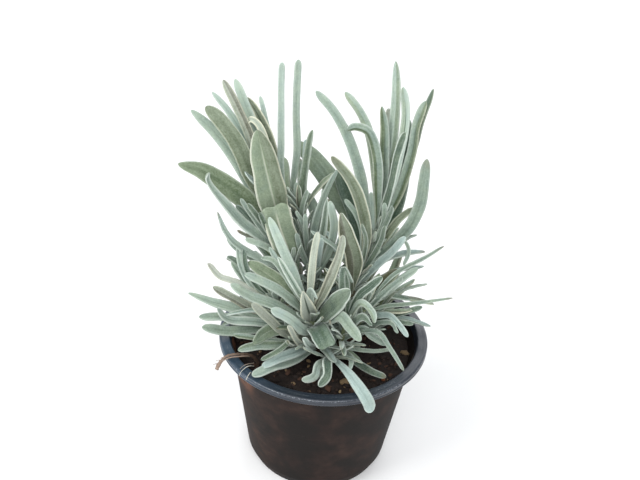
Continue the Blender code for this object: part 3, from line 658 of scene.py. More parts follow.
SHOOTS = {
    "shoot_front": Shoot(
        ((-3, -7), (-3, -7, 72), (-5, -10, 84), (-9, -15, 105)),
        (
            Leaf(((269, 217), (281, 245), (293, 272)), -2, 100, 6.2, 0, 10, Tone.MIST,
                 Shape(curl=0, taper=0.4, wide=0.82, vein_and_groove_shade=-0.1)),
            Leaf(((269, 247), (280, 265), (292, 285)), 2, 97, 3.2, 10, 20, Tone.MIST),
            Leaf(((278, 257), (291, 280)), -14, 99, 4.6, 10, 40, Tone.PALE,
                 Shape(crease=12, rim=1.3, vein_and_groove_shade=-0.9, wide=1.25)),
            Leaf(((318, 232), (313, 260)), -10, 102, 4.6, 0, 15, Tone.CREAM, Shape(wide=0.85, rim=0.9)),
            Leaf(((344, 235), (337, 262), (324, 292)), -16, 96, 5.4, 160, 10, Tone.GREY,
                 Shape(wide=0.95, rim=0.7, split=0.3)),
            Leaf(((303, 291), (306, 303)), -26, 93, 5.4, 0, 40, Tone.CREAM,
                 Shape(curl=0, taper=0.9, belly=0.32, wide=2.0, rim=1.6, vein_and_groove_shade=-1.4)),
            Leaf(((318, 299), (312, 291)), -23, 102, 3.8, 0, 10, Tone.PALE, Shape(wide=1.3)),
            Leaf(((352, 290), (338, 302)), -26, 88, 9.6, -25, 22, Tone.FRESH,
                 Shape(curl=15, cup=8, rim=1.2, wide=1.1)),
            Leaf(((245, 274), (265, 283), (284, 294)), -22, 94, 4.2, 30, 12, Tone.PALE,
                 Shape(wide=1.2, vein_and_groove_shade=0.0)),
            Leaf(((231, 284), (250, 296), (275, 305)), -16, 90, 5.6, 20, 12, Tone.PALE),
            Leaf(((248, 262), (268, 274), (286, 289)), -2, 92, 7.0, 160, 10, Tone.OLIVE,
                 Shape(curl=0, wide=1.1, vein_and_groove_shade=0.3)),
            Leaf(((271, 309), (290, 319), (303, 330)), -36, 84, 5.6, 10, 14, Tone.MIST, Shape(curl=0)),
            Leaf(((253, 304), (270, 320), (287, 334)), -30, 79, 4.8, 165, 14, Tone.GREY),
            Leaf(((329, 349), (318, 330)), -37, 89, 9.6, -10, 10, Tone.DUSK,
                 Shape(curl=10, notch=1.3, rim=1.2)),
            Leaf(((361, 341), (350, 327), (338, 316)), -36, 85, 6.2, -10, 10, Tone.SAGE, Shape(curl=0)),
            Leaf(((263, 260), (277, 264)), -4, 98, 3.2, 0, 20, Tone.SAGE, Shape(curl=70)),
            Leaf(((288, 326), (299, 343)), -33, 72, 3.8, 0, 20, Tone.CREAM, Shape(crease=12, rim=1.2)),
            Leaf(((303, 338), (309, 346)), -36, 73, 4.8, 0, 20, Tone.MIST,
                 Shape(crease=15, rim=1.3, vein_and_groove_shade=-0.5)),
            Leaf(((252, 376), (272, 367), (291, 361)), -41, 72, 5.2, 20, 14, Tone.PALE,
                 Shape(wide=1.15, rim=1.0, vein_and_groove_shade=0.0)),
            Leaf(((262, 367), (280, 358), (297, 352)), -36, 76, 4.2, 20, 14, Tone.BLUE, Shape(wide=1.3)),
        ),
    ),
    "shoot_rim": Shoot(
        ((3, -17), (3, -17, 72), (4, -21, 80)),
        (
            Leaf(((372, 412), (366, 398), (349, 374)), -60, 78, 6.8, 0, 8, Tone.BLUE,
                 Shape(curl=0, taper=0.0, belly=0.75, wide=0.85)),
            Leaf(((301, 381), (314, 377), (318, 366)), -41, 75, 4.4, 0, 14, Tone.MIST,
                 Shape(curl=20, rim=1.1, vein_and_groove_shade=0.0)),
            Leaf(((318, 387), (327, 376), (327, 362)), -45, 77, 5.0, 0, 14, Tone.DUSK,
                 Shape(curl=20, rim=1.2, vein_and_groove_shade=0.0)),
        ),
    ),
    "shoot_front_right": Shoot(
        ((8, -9), (8, -9, 72), (9, -13, 82), (11, -17, 97)),
        (
            Leaf(((382, 277), (370, 287), (358, 298)), -16, 94, 5.6, 165, 10, Tone.DUSK,
                 Shape(wide=0.85, rim=0.9)),
            Leaf(((375, 323), (372, 311), (360, 303)), -30, 95, 4.4, 0, 14, Tone.PALE,
                 Shape(wide=0.85, vein_and_groove_shade=0.0, split=0.4)),
            Leaf(((372, 325), (362, 317)), -36, 90, 4.2, 0, 14, Tone.DUSK),
            Leaf(((404, 371), (391, 350), (375, 331)), -30, 86, 3.9, 0, 14, Tone.SAGE,
                 Shape(dry=0.3, taper=0.5, wide=0.65)),
            Leaf(((386, 345), (372, 336), (362, 329)), -24, 82, 4.6, 0, 12, Tone.SAGE, Shape(wide=0.85)),
            Leaf(((386, 377), (367, 369)), -36, 73, 4.4, 0, 14, Tone.DUSK, Shape(dry=0.4, wide=0.85)),
            Leaf(((393, 349), (372, 351)), -14, 76, 2.8, 0, 20, Tone.PALE, Shape(wide=0.8)),
            Leaf(((351, 369), (351, 358)), -36, 74, 3.4, 0, 20, Tone.PALE),
            Leaf(((340, 268), (346, 285)), -10, 95, 4.0, 20, 20, Tone.DUSK),
            Leaf(((353, 283), (345, 267), (342, 281)), -20, 92, 3.6, 0, 20, Tone.DUSK),
        ),
    ),
    "shoot_low_right": Shoot(
        ((14, -1), (14, -1, 72), (18, -2, 86), (21, -3, 100)),
        (
            Leaf(((444, 246), (425, 258), (403, 269), (388, 280)), 6, 97, 3.8, -20, 30, Tone.SAGE,
                 Shape(dry=0.5, taper=0.6, wide=0.75)),
            Leaf(((453, 298), (425, 302), (400, 305), (386, 306)), 0, 93, 3.8, -10, 20, Tone.SAGE,
                 Shape(dry=0.5, taper=0.9, belly=0.35, wide=0.65)),
            Leaf(((423, 307), (402, 313), (382, 319)), -10, 87, 4.0, -10, 16, Tone.DUSK, Shape(wide=0.85)),
            Leaf(((411, 299), (392, 295), (380, 297)), 14, 94, 4.2, 150, 16, Tone.DUSK),
            Leaf(((406, 277), (396, 283), (382, 295)), -8, 92, 4.4, -20, 20, Tone.SAGE,
                 Shape(curl=40, wide=0.85)),
            Leaf(((399, 270), (386, 280), (374, 292)), 3, 96, 6.6, -10, 10, Tone.OLIVE, Shape(split=0.6)),
            Leaf(((408, 337), (397, 322), (386, 315)), -22, 89, 3.8, 0, 10, Tone.BLUE, Shape(wide=0.85)),
            Leaf(((414, 324), (399, 322), (384, 320)), -14, 84, 2.9, 0, 16, Tone.DUSK),
            Leaf(((398, 333), (388, 322)), -20, 82, 2.8, 0, 20, Tone.SAGE),
            Leaf(((418, 268), (403, 278), (386, 292)), 9, 98, 5.4, -15, 14, Tone.MIST, Shape(wide=0.8)),
        ),
    ),
    "shoot_low_left": Shoot(
        ((-13, -1), (-13, -1, 72), (-19, -3, 84), (-26, -4, 98)),
        (
            Leaf(((227, 256), (240, 265), (258, 283)), 16, 96, 4.4, 30, 16, Tone.DUSK),
            Leaf(((231, 262), (243, 278), (257, 293)), 8, 94, 4.0, 20, 16, Tone.SAGE),
            Leaf(((238, 243), (241, 266), (254, 288)), 6, 97, 2.8, 0, 25, Tone.MIST, Shape(wide=1.2)),
            Leaf(((243, 249), (247, 270), (260, 290)), 0, 98, 2.8, 0, 25, Tone.DUSK, Shape(wide=1.2)),
            Leaf(((208, 263), (219, 276), (232, 281), (252, 291)), 4, 92, 4.0, 20, 14, Tone.CREAM,
                 Shape(dry=0.2, wide=0.9)),
            Leaf(((230, 279), (246, 287), (262, 298)), 2, 90, 4.4, 160, 12, Tone.DUSK),
            Leaf(((213, 287), (235, 299), (254, 309)), -4, 87, 5.6, 150, 12, Tone.GREY, Shape(split=0.5)),
            Leaf(((188, 293), (212, 302), (237, 309), (258, 316)), -4, 84, 4.8, 20, 14, Tone.PALE,
                 Shape(taper=0.8, wide=1.2)),
            Leaf(((216, 309), (229, 320), (256, 322)), -18, 80, 5.0, 20, 18, Tone.MIST,
                 Shape(rim=1.3, vein_and_groove_shade=-0.4)),
            Leaf(((199, 317), (222, 317), (250, 320)), -10, 82, 5.4, 30, 12, Tone.SAGE),
            Leaf(((202, 327), (230, 331), (262, 328)), -16, 77, 6.0, 20, 12, Tone.SAGE),
            Leaf(((253, 343), (266, 333), (280, 328)), -36, 79, 6.6, 0, 8, Tone.FRESH,
                 Shape(curl=0, wide=1.1, vein_and_groove_shade=0.3)),
        ),
    ),
    "shoot_front_left": Shoot(
        ((-11, -11), (-11, -11, 72), (-15, -15, 82)),
        (
            Leaf(((238, 350), (256, 346), (276, 345)), -30, 80, 4.8, 20, 14, Tone.SAGE, Shape(split=-0.3)),
            Leaf(((233, 335), (254, 338), (272, 341)), -24, 81, 3.2, 20, 20, Tone.SAGE, Shape(split=0.5)),
            Leaf(((261, 360), (278, 351), (288, 343)), -34, 81, 2.9, 0, 20, Tone.FRESH),
        ),
    ),
    "shoot_left": Shoot(
        ((-9, 8), (-9, 8, 72), (-13, 9, 92), (-22, 11, 122), (-30, 13, 148)),
        (
            Leaf(((257, 130), (264, 162), (272, 195), (280, 224)), 4, 122, 14.5, 5, 7, Tone.MOSS,
                 Shape(curl=0, taper=0.45, wide=1.05, rim=1.5, vein_and_groove_shade=0.5, split=-0.25)),
            Leaf(((273, 203), (280, 228), (288, 250)), -4, 106, 13.0, 10, 12, Tone.MOSS,
                 Shape(curl=0, notch=2.4, wide=1.17, rim=1.9, vein_and_groove_shade=1.2)),
            Leaf(((178, 164), (200, 170), (222, 183), (246, 201)), 8, 128, 9.6, 165, 8, Tone.OLIVE,
                 Shape(taper=0.6, wide=1.15, rim=0.3, rib=-0.2)),
            Leaf(((196, 166), (212, 189), (227, 206), (243, 223), (265, 240)), -6, 116, 4.8, 20, 20,
                 Tone.PALE, Shape(cup=30, curl=60, taper=0.4, wide=1.25, rim=1.2)),
            Leaf(((191, 110), (215, 133), (236, 160), (256, 194)), 24, 138, 5.0, 20, 12, Tone.PALE,
                 Shape(taper=0.6, wide=1.35)),
            Leaf(((206, 106), (222, 122), (239, 146), (256, 186)), 16, 139, 7.6, 165, 8, Tone.OLIVE,
                 Shape(wide=1.15, rim=0.5, rib=-0.2)),
            Leaf(((212, 92), (228, 111), (243, 136), (258, 175)), 30, 141, 3.4, 15, 15, Tone.MIST,
                 Shape(taper=0.5, wide=1.25)),
            Leaf(((223, 80), (236, 105), (250, 137), (262, 172)), 20, 143, 4.4, 165, 15, Tone.GREY,
                 Shape(taper=0.4, wide=1.25, split=-0.45)),
            Leaf(((235, 79), (243, 99), (256, 133), (266, 168)), 28, 144, 4.4, 0, 15, Tone.MIST,
                 Shape(taper=0.3, wide=1.15)),
            Leaf(((246, 97), (256, 112), (269, 140), (275, 170)), 34, 145, 4.2, 15, 40, Tone.HUSK,
                 Shape(crease=5, cup=10, wide=1.8, rim=2.0, vein_and_groove_shade=-1.0)),
            Leaf(((260, 96), (264, 112), (271, 145), (276, 172)), 40, 146, 3.0, 0, 15, Tone.MIST,
                 Shape(taper=0.4)),
            Leaf(((248, 126), (252, 119), (262, 131), (270, 165)), 20, 142, 5.4, 0, 14, Tone.CREAM,
                 Shape(cup=20, wide=0.8, rim=1.5)),
            Leaf(((217, 212), (223, 228), (234, 243), (254, 256)), -9, 104, 5.0, 30, 25, Tone.MIST,
                 Shape(dry=0.4, taper=0.8, wide=0.9)),
            Leaf(((240, 198), (253, 217), (268, 236)), 2, 120, 3.2, 0, 25, Tone.SAGE),
            Leaf(((247, 203), (262, 222), (274, 236)), -2, 119, 3.4, 0, 25, Tone.DUSK),
            Leaf(((236, 205), (250, 219), (268, 237)), 6, 114, 4.0, 150, 16, Tone.DUSK),
            Leaf(((227, 238), (243, 252), (262, 262)), -2, 103, 4.8, 20, 16, Tone.PALE),
            Leaf(((259, 212), (270, 234)), -8, 113, 3.2, 0, 20, Tone.DUSK),
            Leaf(((237, 231), (258, 241), (274, 250)), 3, 111, 2.4, 150, 20, Tone.BROWN, Shape(dry=0.7)),
            Leaf(((245, 239), (265, 246), (278, 255)), -10, 107, 3.8, 20, 16, Tone.PALE),
        ),
    ),
    "shoot_middle": Shoot(
        ((-3, 15), (-3, 15, 72), (-6, 17, 92), (-13, 20, 118), (-18, 22, 144)),
        (
            Leaf(((282, 61), (281, 100), (281, 140), (281, 170), (287, 200)), 20, 136, 3.0, 0, 15,
                 Tone.MIST, Shape(taper=0.0, wide=1.15)),
            Leaf(((298, 59), (296, 110), (297, 150), (293, 185), (293, 208)), 26, 132, 3.5, 10, 15,
                 Tone.PALE, Shape(taper=0.0, wide=1.1)),
            Leaf(((313, 130), (309, 150), (305, 180), (302, 210)), 18, 126, 3.6, -35, 40, Tone.FRESH,
                 Shape(wide=1.7)),
            Leaf(((306, 139), (305, 160), (302, 190)), 26, 130, 3.0, 0, 15, Tone.BLUE),
            Leaf(((337, 169), (324, 195), (314, 228)), 12, 106, 4.6, 25, 20, Tone.PALE, Shape(taper=0.6)),
            Leaf(((327, 200), (324, 226), (318, 256)), 4, 96, 7.6, 0, 28, Tone.SAGE,
                 Shape(crease=20, taper=0.5, wide=0.85, rim=1.1, vein_and_groove_shade=-0.8)),
            Leaf(((296, 182), (296, 200), (300, 222)), 18, 122, 2.8, 0, 25, Tone.MIST),
            Leaf(((308, 190), (302, 212)), 12, 118, 3.2, -30, 25, Tone.SAGE),
            Leaf(((296, 211), (303, 225)), 8, 112, 2.6, 0, 25, Tone.MIST),
            Leaf(((318, 208), (312, 230)), 24, 108, 4.6, 150, 14, Tone.MIST),
            Leaf(((305, 214), (306, 236)), 6, 105, 3.2, 0, 25, Tone.PALE),
            Leaf(((304, 191), (313, 207), (318, 230)), 28, 104, 7.0, 150, 14, Tone.MIST),
            Leaf(((330, 202), (334, 226), (328, 252)), 2, 97, 4.6, 20, 16, Tone.MIST),
            Leaf(((296, 232), (301, 250)), 2, 100, 3.2, 0, 20, Tone.PALE),
            Leaf(((322, 238), (319, 258)), -2, 95, 3.0, 0, 20, Tone.BLUE),
            Leaf(((290, 190), (295, 214)), 26, 116, 3.0, 0, 20, Tone.MIST),
            Leaf(((336, 252), (328, 233), (317, 236)), 2, 104, 2.6, 0, 20, Tone.BLUE),
        ),
    ),
    "shoot_right": Shoot(
        ((9, 8), (9, 8, 72), (12, 8, 92), (19, 9, 116), (24, 11, 140)),
        (
            Leaf(((316, 91), (334, 112), (350, 142), (361, 178), (367, 210)), 22, 129, 5.4, 0, 10,
                 Tone.SAGE, Shape(taper=0.32, wide=0.96)),
            Leaf(((345, 92), (360, 112), (370, 137), (376, 180)), 28, 136, 4.4, 0, 12, Tone.PALE,
                 Shape(taper=0.32, wide=1.08, split=0.45)),
            Leaf(((347, 130), (357, 127), (370, 134), (377, 160), (378, 192)), 14, 137, 4.8, 160, 14,
                 Tone.SAGE, Shape(taper=0.15, wide=1.1, rim=0.5, rib=-0.1, split=0.55)),
            Leaf(((382, 106), (385, 130), (384, 165), (382, 195)), 16, 138, 5.0, 0, 40, Tone.SAGE,
                 Shape(taper=0.5, wide=1.45, vein_and_groove_shade=-0.6, split=0.6)),
            Leaf(((396, 61), (396, 95), (394, 125), (389, 165)), 22, 139, 4.0, 165, 14, Tone.PALE,
                 Shape(taper=0.7, wide=1.45, split=-0.4)),
            Leaf(((404, 86), (406, 118), (400, 155), (391, 190)), 10, 136, 4.4, -15, 30, Tone.MIST,
                 Shape(wide=1.25, vein_and_groove_shade=-0.8, split=0.4)),
            Leaf(((408, 118), (406, 148), (397, 182)), 26, 134, 4.2, 150, 14, Tone.DUSK, Shape(wide=1.5)),
            Leaf(((434, 89), (430, 101), (422, 121), (414, 150), (402, 185)), 22, 133, 3.4, -30, 35,
                 Tone.DUSK, Shape(taper=0.5, wide=1.8, split=-0.5)),
            Leaf(((426, 101), (417, 125), (413, 150), (405, 177), (395, 202)), 8, 131, 5.2, -15, 35,
                 Tone.SAGE, Shape(wide=1.25, rim=0.6, vein_and_groove_shade=-0.6, split=-0.6)),
            Leaf(((427, 159), (424, 180), (420, 204), (410, 226), (394, 242)), -4, 116, 6.4, 10, 10,
                 Tone.SAGE, Shape(curl=0, taper=0.5, dry=0.25)),
            Leaf(((331, 158), (350, 180), (361, 207), (366, 238)), -6, 110, 6.4, 155, 25, Tone.HUSK,
                 Shape(dry=0.2, wide=1.1, rim=1.1, rib=-0.1)),
            Leaf(((345, 199), (357, 216), (363, 238)), 2, 108, 3.2, 0, 16, Tone.SAGE),
            Leaf(((362, 224), (366, 244)), -10, 103, 3.4, 0, 40, Tone.FRESH),
            Leaf(((341, 214), (347, 236), (354, 262)), -13, 97, 8.4, 170, 12, Tone.OLIVE,
                 Shape(taper=0.7, wide=1.1, rim=1.8, vein_and_groove_shade=0.5, split=0.4)),
            Leaf(((385, 203), (383, 225)), -4, 117, 3.4, 0, 20, Tone.SAGE),
            Leaf(((413, 208), (398, 220), (386, 236)), 6, 114, 4.2, 160, 14, Tone.HUSK),
            Leaf(((405, 237), (392, 252), (378, 264)), -4, 102, 4.2, -10, 14, Tone.BLUE),
            Leaf(((404, 265), (409, 251), (403, 240), (388, 247)), 6, 107, 2.6, 60, 14, Tone.MIST),
            Leaf(((389, 108), (391, 145), (387, 185)), 30, 139, 3.8, 160, 14, Tone.GREY, Shape(wide=1.6)),
            Leaf(((404, 133), (396, 160), (388, 195)), -2, 128, 4.6, 150, 14, Tone.DUSK,
                 Shape(rim=1.0, vein_and_groove_shade=-0.8)),
            Leaf(((407, 162), (402, 190), (393, 217)), 24, 122, 6.0, 0, 12, Tone.DUSK),
            Leaf(((371, 192), (372, 215)), 26, 127, 3.4, 0, 14, Tone.MIST),
            Leaf(((393, 206), (386, 222)), -10, 113, 3.2, 150, 20, Tone.DUSK),
            Leaf(((385, 226), (379, 245)), -13, 106, 3.0, 0, 20, Tone.DUSK),
        ),
    ),
    "shoot_back_right": Shoot(
        ((15, 21), (15, 21, 72), (20, 26, 88), (25, 31, 106)),
        (
            Leaf(((294, 141), (310, 155), (323, 171), (338, 193), (353, 215)), 36, 103, 12.5, 0, 8,
                 Tone.JADE, Shape(taper=0.5, rim=0.3, vein_and_groove_shade=-0.1)),
            Leaf(((338, 168), (346, 192), (354, 214)), 28, 99, 8.0, 0, 10, Tone.DUSK),
        ),
    ),
    "shoot_back_left": Shoot(((-15, 21), (-15, 21, 72), (-21, 26, 88), (-26, 31, 106))),
    "shoot_back": Shoot(((0, 27), (0, 27, 72), (0, 33, 86), (-2, 38, 104))),
    "shoot_side_left": Shoot(((-25, 9), (-25, 9, 72), (-29, 13, 82), (-32, 18, 92))),
    "shoot_side_right": Shoot(((24, 10), (24, 10, 72), (29, 14, 82), (32, 19, 92))),
}


@dataclass(frozen=True)
class Whorls:
    """Leaf pairs that a shoot bears by rule, from the lowest up, on the side that they face.

    Angles are in degrees. Scatter and tilt are the most that a draw turns a leaf aside and up or down, and
    the spans are the draws' lowest and highest.
    """

    shoot: str
    pairs: int
    first: float
    last: float
    length: float
    width: float
    facing: float
    spread: float
    scatter: float = 16
    rise: float = 12
    steeper: float = 52
    tilt: float = 8
    sizes: Point = (0.8, 1.15)
    folds: Point = (8, 24)
    droops: Point = (0.05, 0.2)


WHORLS = (
    Whorls("shoot_left", 4, 98, 138, 42, 5.2, 100, 170),
    Whorls("shoot_left", 3, 78, 92, 28, 4.2, 180, 360),
    Whorls("shoot_middle", 4, 96, 134, 40, 5.2, 90, 170),
    Whorls("shoot_middle", 5, 78, 112, 28, 4.2, 300, 360),
    Whorls("shoot_right", 4, 98, 131, 42, 5.2, 85, 170),
    Whorls("shoot_right", 3, 78, 92, 28, 4.2, 0, 360),
    Whorls("shoot_front", 4, 76, 100, 23, 4.0, 110, 360),
    Whorls("shoot_low_left", 3, 76, 94, 30, 4.6, 120, 240),
    Whorls("shoot_low_right", 3, 76, 96, 30, 4.6, 60, 240),
    Whorls("shoot_front_left", 2, 74, 81, 20, 3.8, 200, 360),
    Whorls("shoot_front_right", 3, 76, 94, 20, 3.8, 320, 360),
    Whorls("shoot_rim", 2, 73, 79, 18, 3.8, 250, 360),
    Whorls("shoot_back_right", 7, 74, 105, 44, 5.8, 60, 360),
    Whorls("shoot_back_left", 7, 74, 105, 44, 5.8, 120, 360),
    Whorls("shoot_back", 7, 74, 103, 44, 5.8, 90, 360),
    Whorls("shoot_side_left", 5, 74, 91, 32, 5.2, 135, 200),
    Whorls("shoot_side_right", 5, 74, 91, 32, 5.2, 45, 200),
)


def outward(bearing: float) -> Vector:
    """The level direction at a bearing in degrees."""
    return Vector((math.cos(math.radians(bearing)), math.sin(math.radians(bearing)), 0))


def foot_width(width: float) -> float:
    """How wide a blade is at its foot, from how wide it is at its widest."""
    return min(0.42 * width, 1.3 + 0.1 * width)


def smooth_route(points: Sequence[Vector], count: int) -> list[Vector]:
    """Evenly spaced points on a smooth curve through the given ones.

    Args:
        points: The points that the curve goes through.
        count: How many points to give back.

    Returns:
        The spaced points.
    """
    ends = [2 * points[0] - points[1]] + list(points) + [2 * points[-1] - points[-2]]
    fine = [points[0].copy()]
    steps = 12
    for before, start, end, after in zip(ends, ends[1:], ends[2:], ends[3:]):
        for step in range(1, steps + 1):
            t = step / steps
            bend = 2 * start + (end - before) * t
            bend += (2 * before - 5 * start + 4 * end - after) * t ** 2
            bend += (3 * start - before - 3 * end + after) * t ** 3
            fine.append(bend / 2)
    lengths = [0.0]
    for a, b in zip(fine, fine[1:]):
        lengths.append(lengths[-1] + (b - a).length)
    even = []
    index = 0
    for step in range(count):
        wanted = lengths[-1] * step / (count - 1)
        while index < len(fine) - 2 and lengths[index + 1] < wanted:
            index += 1
        share = (wanted - lengths[index]) / max(lengths[index + 1] - lengths[index], 1e-9)
        even.append(fine[index].lerp(fine[index + 1], min(share, 1.0)))
    return even


@dataclass(frozen=True)
class StemLine:
    """The line that a shoot's stem follows."""

    shoot: Shoot
    foot: float = 62.8
    radius: float = 1.7
    tip_radius: float = 1.1

    def points(self, bends: int = 6) -> list[Vector]:
        """The points of the stem, straight in the soil and then bending.

        Args:
            bends: How many points its bending part has.

        Returns:
            The points, from the foot up.
        """
        bend = [Vector(point) for point in self.shoot.stem[1:]]
        return [Vector((*self.shoot.stem[0], self.foot))] + smooth_route(bend, bends)

    def place(self, height: float) -> tuple[Vector, Vector]:
        """The stem at a height.

        Args:
            height: The height.

        Returns:
            The place on the stem, and the way that it grows there.
        """
        points = self.points()
        for low, high in zip(points, points[1:]):
            if high.z >= height:
                share = (height - low.z) / (high.z - low.z)
                return low.lerp(high, share), (high - low).normalized()
        return points[-1], (points[-1] - points[-2]).normalized()

    def radii(self, count: int) -> list[float]:
        """The radius at each of its points, thinner to its tip."""
        return [self.radius + (self.tip_radius - self.radius) * i / (count - 1) for i in range(count)]


@dataclass(frozen=True)
class Blade:
    """A leaf laid out in space: its points from root to tip, the side its face looks to, and its sizes.

    Belly is the share of its length where it is widest, and end the share that its rounded end takes.
    """

    points: list
    face: Vector
    width: float
    fold: float
    belly: float = 0.62
    end: float = 0.3

    def length(self) -> float:
        """The length along its points."""
        return sum((b - a).length for a, b in zip(self.points, self.points[1:]))

    def half_width(self, share: float) -> float:
        """The blade's outline: a narrow foot, widest past the middle, blunt.

        Args:
            share: A share of its length.

        Returns:
            Half its width there.
        """
        foot = foot_width(self.width)
        grown = min(share / self.belly, 1.0)
        body = foot + (self.width - foot) * grown * grown * (3 - 2 * grown)
        rounded = 1 - self.end
        if share > rounded:
            body *= math.sqrt(max(1 - ((share - rounded) / self.end) ** 2.3, 0.0))
        return body / 2

    def frames(self, count: int) -> tuple[list[Vector], list[Vector], list[Vector]]:
        """Its line, with the way that it runs and the way that its face looks, without twist.

        Args:
            count: How many points.

        Returns:
            The points, their tangents and their normals.
        """
        route = smooth_route(self.points, count)
        tangents = []
        for index in range(count):
            ahead = route[min(index + 1, count - 1)]
            behind = route[max(index - 1, 0)]
            tangents.append((ahead - behind).normalized())
        middle = count // 2
        normals = [None] * count
        face = self.face - tangents[middle] * self.face.dot(tangents[middle])
        normals[middle] = face.normalized()
        for index in range(middle + 1, count):
            turn = tangents[index - 1].rotation_difference(tangents[index])
            normals[index] = turn @ normals[index - 1]
        for index in range(middle - 1, -1, -1):
            turn = tangents[index + 1].rotation_difference(tangents[index])
            normals[index] = turn @ normals[index + 1]
        return route, tangents, normals


@dataclass(frozen=True)
class Solid:
    """Something already placed, that new leaves keep clear of."""

    owner: str
    tree: BVHTree
    low: Vector
    high: Vector

    @classmethod
    def of(cls, owner: str, vertices: Sequence[Vector], faces: Sequence[tuple]) -> "Solid":
        """A placed solid from its mesh.

        Args:
            owner: The shoot or piece that it belongs to.
            vertices: Its vertices.
            faces: Its faces.

        Returns:
            The solid.
        """
        low = Vector(min(v[axis] for v in vertices) for axis in range(3))
        high = Vector(max(v[axis] for v in vertices) for axis in range(3))
        return cls(owner, BVHTree.FromPolygons(vertices, faces), low, high)

    @classmethod
    def of_mesh(cls, owner: str, mesh: bpy.types.Mesh) -> "Solid":
        """A placed solid from an owner's mesh in metres."""
        vertices = [vertex.co / MM for vertex in mesh.vertices]
        return cls.of(owner, vertices, [tuple(face.vertices) for face in mesh.polygons])


@dataclass
class Clearing:
    """The rule that keeps a new blade clear of what is there.

    Above and below are the shares of a blade's thickness to each side of its line. Past a share of its
    length, thin is how much of the thickness is left.
    """

    samples: int = 41
    thickness: float = 1.1
    above: float = 0.4
    below: float = 0.6
    thin_from: float = 0.8
    thin: float = 0.85
    plain: tuple = (0.0, 0.2, 0.44, 0.68, 0.89, 1.0)
    wide: tuple = (0.0, 0.2, 0.44, 0.68, 0.86, 0.96, 1.0)
    small: tuple = (0.0, 0.3, 0.62, 0.88, 1.0)
    small_leaf: float = 32.0
    wide_leaf: float = 7.0
    clearance: float = 0.45
    root_share: float = 0.26
    placed: list = field(default_factory=list)

    def stations(self, blade: Blade) -> tuple:
        """The stations of a blade: more on a wide one, fewer on a small one.

        Args:
            blade: The blade.

        Returns:
            The shares of its length.
        """
        if blade.width > self.wide_leaf:
            return self.wide
        return self.small if blade.length() < self.small_leaf else self.plain

    def mesh(self, blade: Blade, swell: float = 0.0, start: float = 0.0) -> tuple[list, list]:
        """The plain form of a blade: a shallow channel with thin edges and a pointed end.

        Args:
            blade: The blade.
            swell: How much it is grown all round.
            start: The share of its length that is left off.

        Returns:
            Its vertices and triangles.
        """
        route, tangents, normals = blade.frames(self.samples)
        vertices = []
        used = [share for share in self.stations(blade) if share >= start]
        for share in used[:-1]:
            index = round(share * (self.samples - 1))
            side = normals[index].cross(tangents[index])
            half = blade.half_width(share) + swell
            thick = self.thickness * (1.0 if share < self.thin_from else self.thin) + 2 * swell
            edge = math.cos(blade.fold) * half * side
            lift = math.sin(blade.fold) * half * normals[index]
            vertices.append(route[index] - edge + lift)
            vertices.append(route[index] + self.above * thick * normals[index])
            vertices.append(route[index] + edge + lift)
            vertices.append(route[index] - self.below * thick * normals[index])
        vertices.append(route[-1] + swell * tangents[-1])
        rings = len(used) - 1
        faces = [(0, 1, 2), (0, 2, 3)]
        for ring in range(rings - 1):
            low = 4 * ring
            for edge, ridge in ((0, 1), (2, 1), (0, 3), (2, 3)):
                faces.append((low + edge, low + 4 + edge, low + 4 + ridge))
                faces.append((low + edge, low + 4 + ridge, low + ridge))
        last = 4 * (rings - 1)
        for a, b in ((0, 1), (1, 2), (2, 3), (3, 0)):
            faces.append((last + b, last + a, 4 * rings))
        return vertices, faces

    def is_clear(self, blade: Blade, owner: str) -> bool:
        """Whether a blade keeps clear, past its root of its own shoot's leaves too.

        Args:
            blade: The blade.
            owner: Its shoot.

        Returns:
            True if it is clear.
        """
        whole = Solid.of(owner, *self.mesh(blade, swell=self.clearance))
        outer = Solid.of(owner, *self.mesh(blade, start=self.root_share))
        for other in self.placed:
            mine = outer if other.owner == owner else whole
            if any(mine.high[i] < other.low[i] or mine.low[i] > other.high[i] for i in range(3)):
                continue
            if mine.tree.overlap(other.tree):
                return False
        return True

    @staticmethod
    def swung(blade: Blade, along: float, aside: float, scale: float) -> Blade:
        """A blade turned about its root.

        Args:
            blade: The blade.
            along: How far its tip is pushed along the line of sight.
            aside: How far it is pushed aside.
            scale: Its new length as a share.

        Returns:
            The moved blade.
        """
        root = blade.points[0]
        reach = (blade.points[-1] - root).length
        look = (blade.points[-1] - EYE).normalized()
        cross = look.cross(blade.points[-1] - root)
        cross = cross.normalized() if cross.length > 1e-6 else Vector((1, 0, 0))
        points = [root]
        for point in blade.points[1:]:
            share = (point - root).length / reach
            moved = root + (point - root) * scale
            points.append(moved + share * (along * look + aside * cross))
        return replace(blade, points=points)

    @staticmethod
    def trials() -> Iterator[Triple]:
        """Pushes to try in turn: none, then along the sight line, then aside as well, then shorter.

        Yields:
            The push along the sight line, the push aside and the scale.
        """
        steps = 9
        push = 2.5
        short_push = 3.0
        yield 0.0, 0.0, 1.0
        for aside in (0.0, 2.0, -2.0, 5.0, -5.0):
            for step in range(1, steps):
                yield push * step, aside, 1.0
                yield -push * step, aside, 1.0
        for scale in (0.85, 0.7, 0.55):
            for step in range(steps):
                yield short_push * step, 0.0, scale
                yield -short_push * step, short_push, scale

    def settle(self, owner: str, blade: Blade, tries: int | None = None) -> Blade | None:
        """Place a blade at the first trial that is clear.

        Args:
            owner: Its shoot.
            blade: The blade as sighted.
            tries: The most trials to make, or None for all.

        Returns:
            The placed blade, or None where no trial was clear.
        """
        for along, aside, scale in islice(self.trials(), tries):
            moved = self.swung(blade, along, aside, scale)
            if self.is_clear(moved, owner):
                self.placed.append(Solid.of(owner, *self.mesh(moved)))
                return moved
        return None


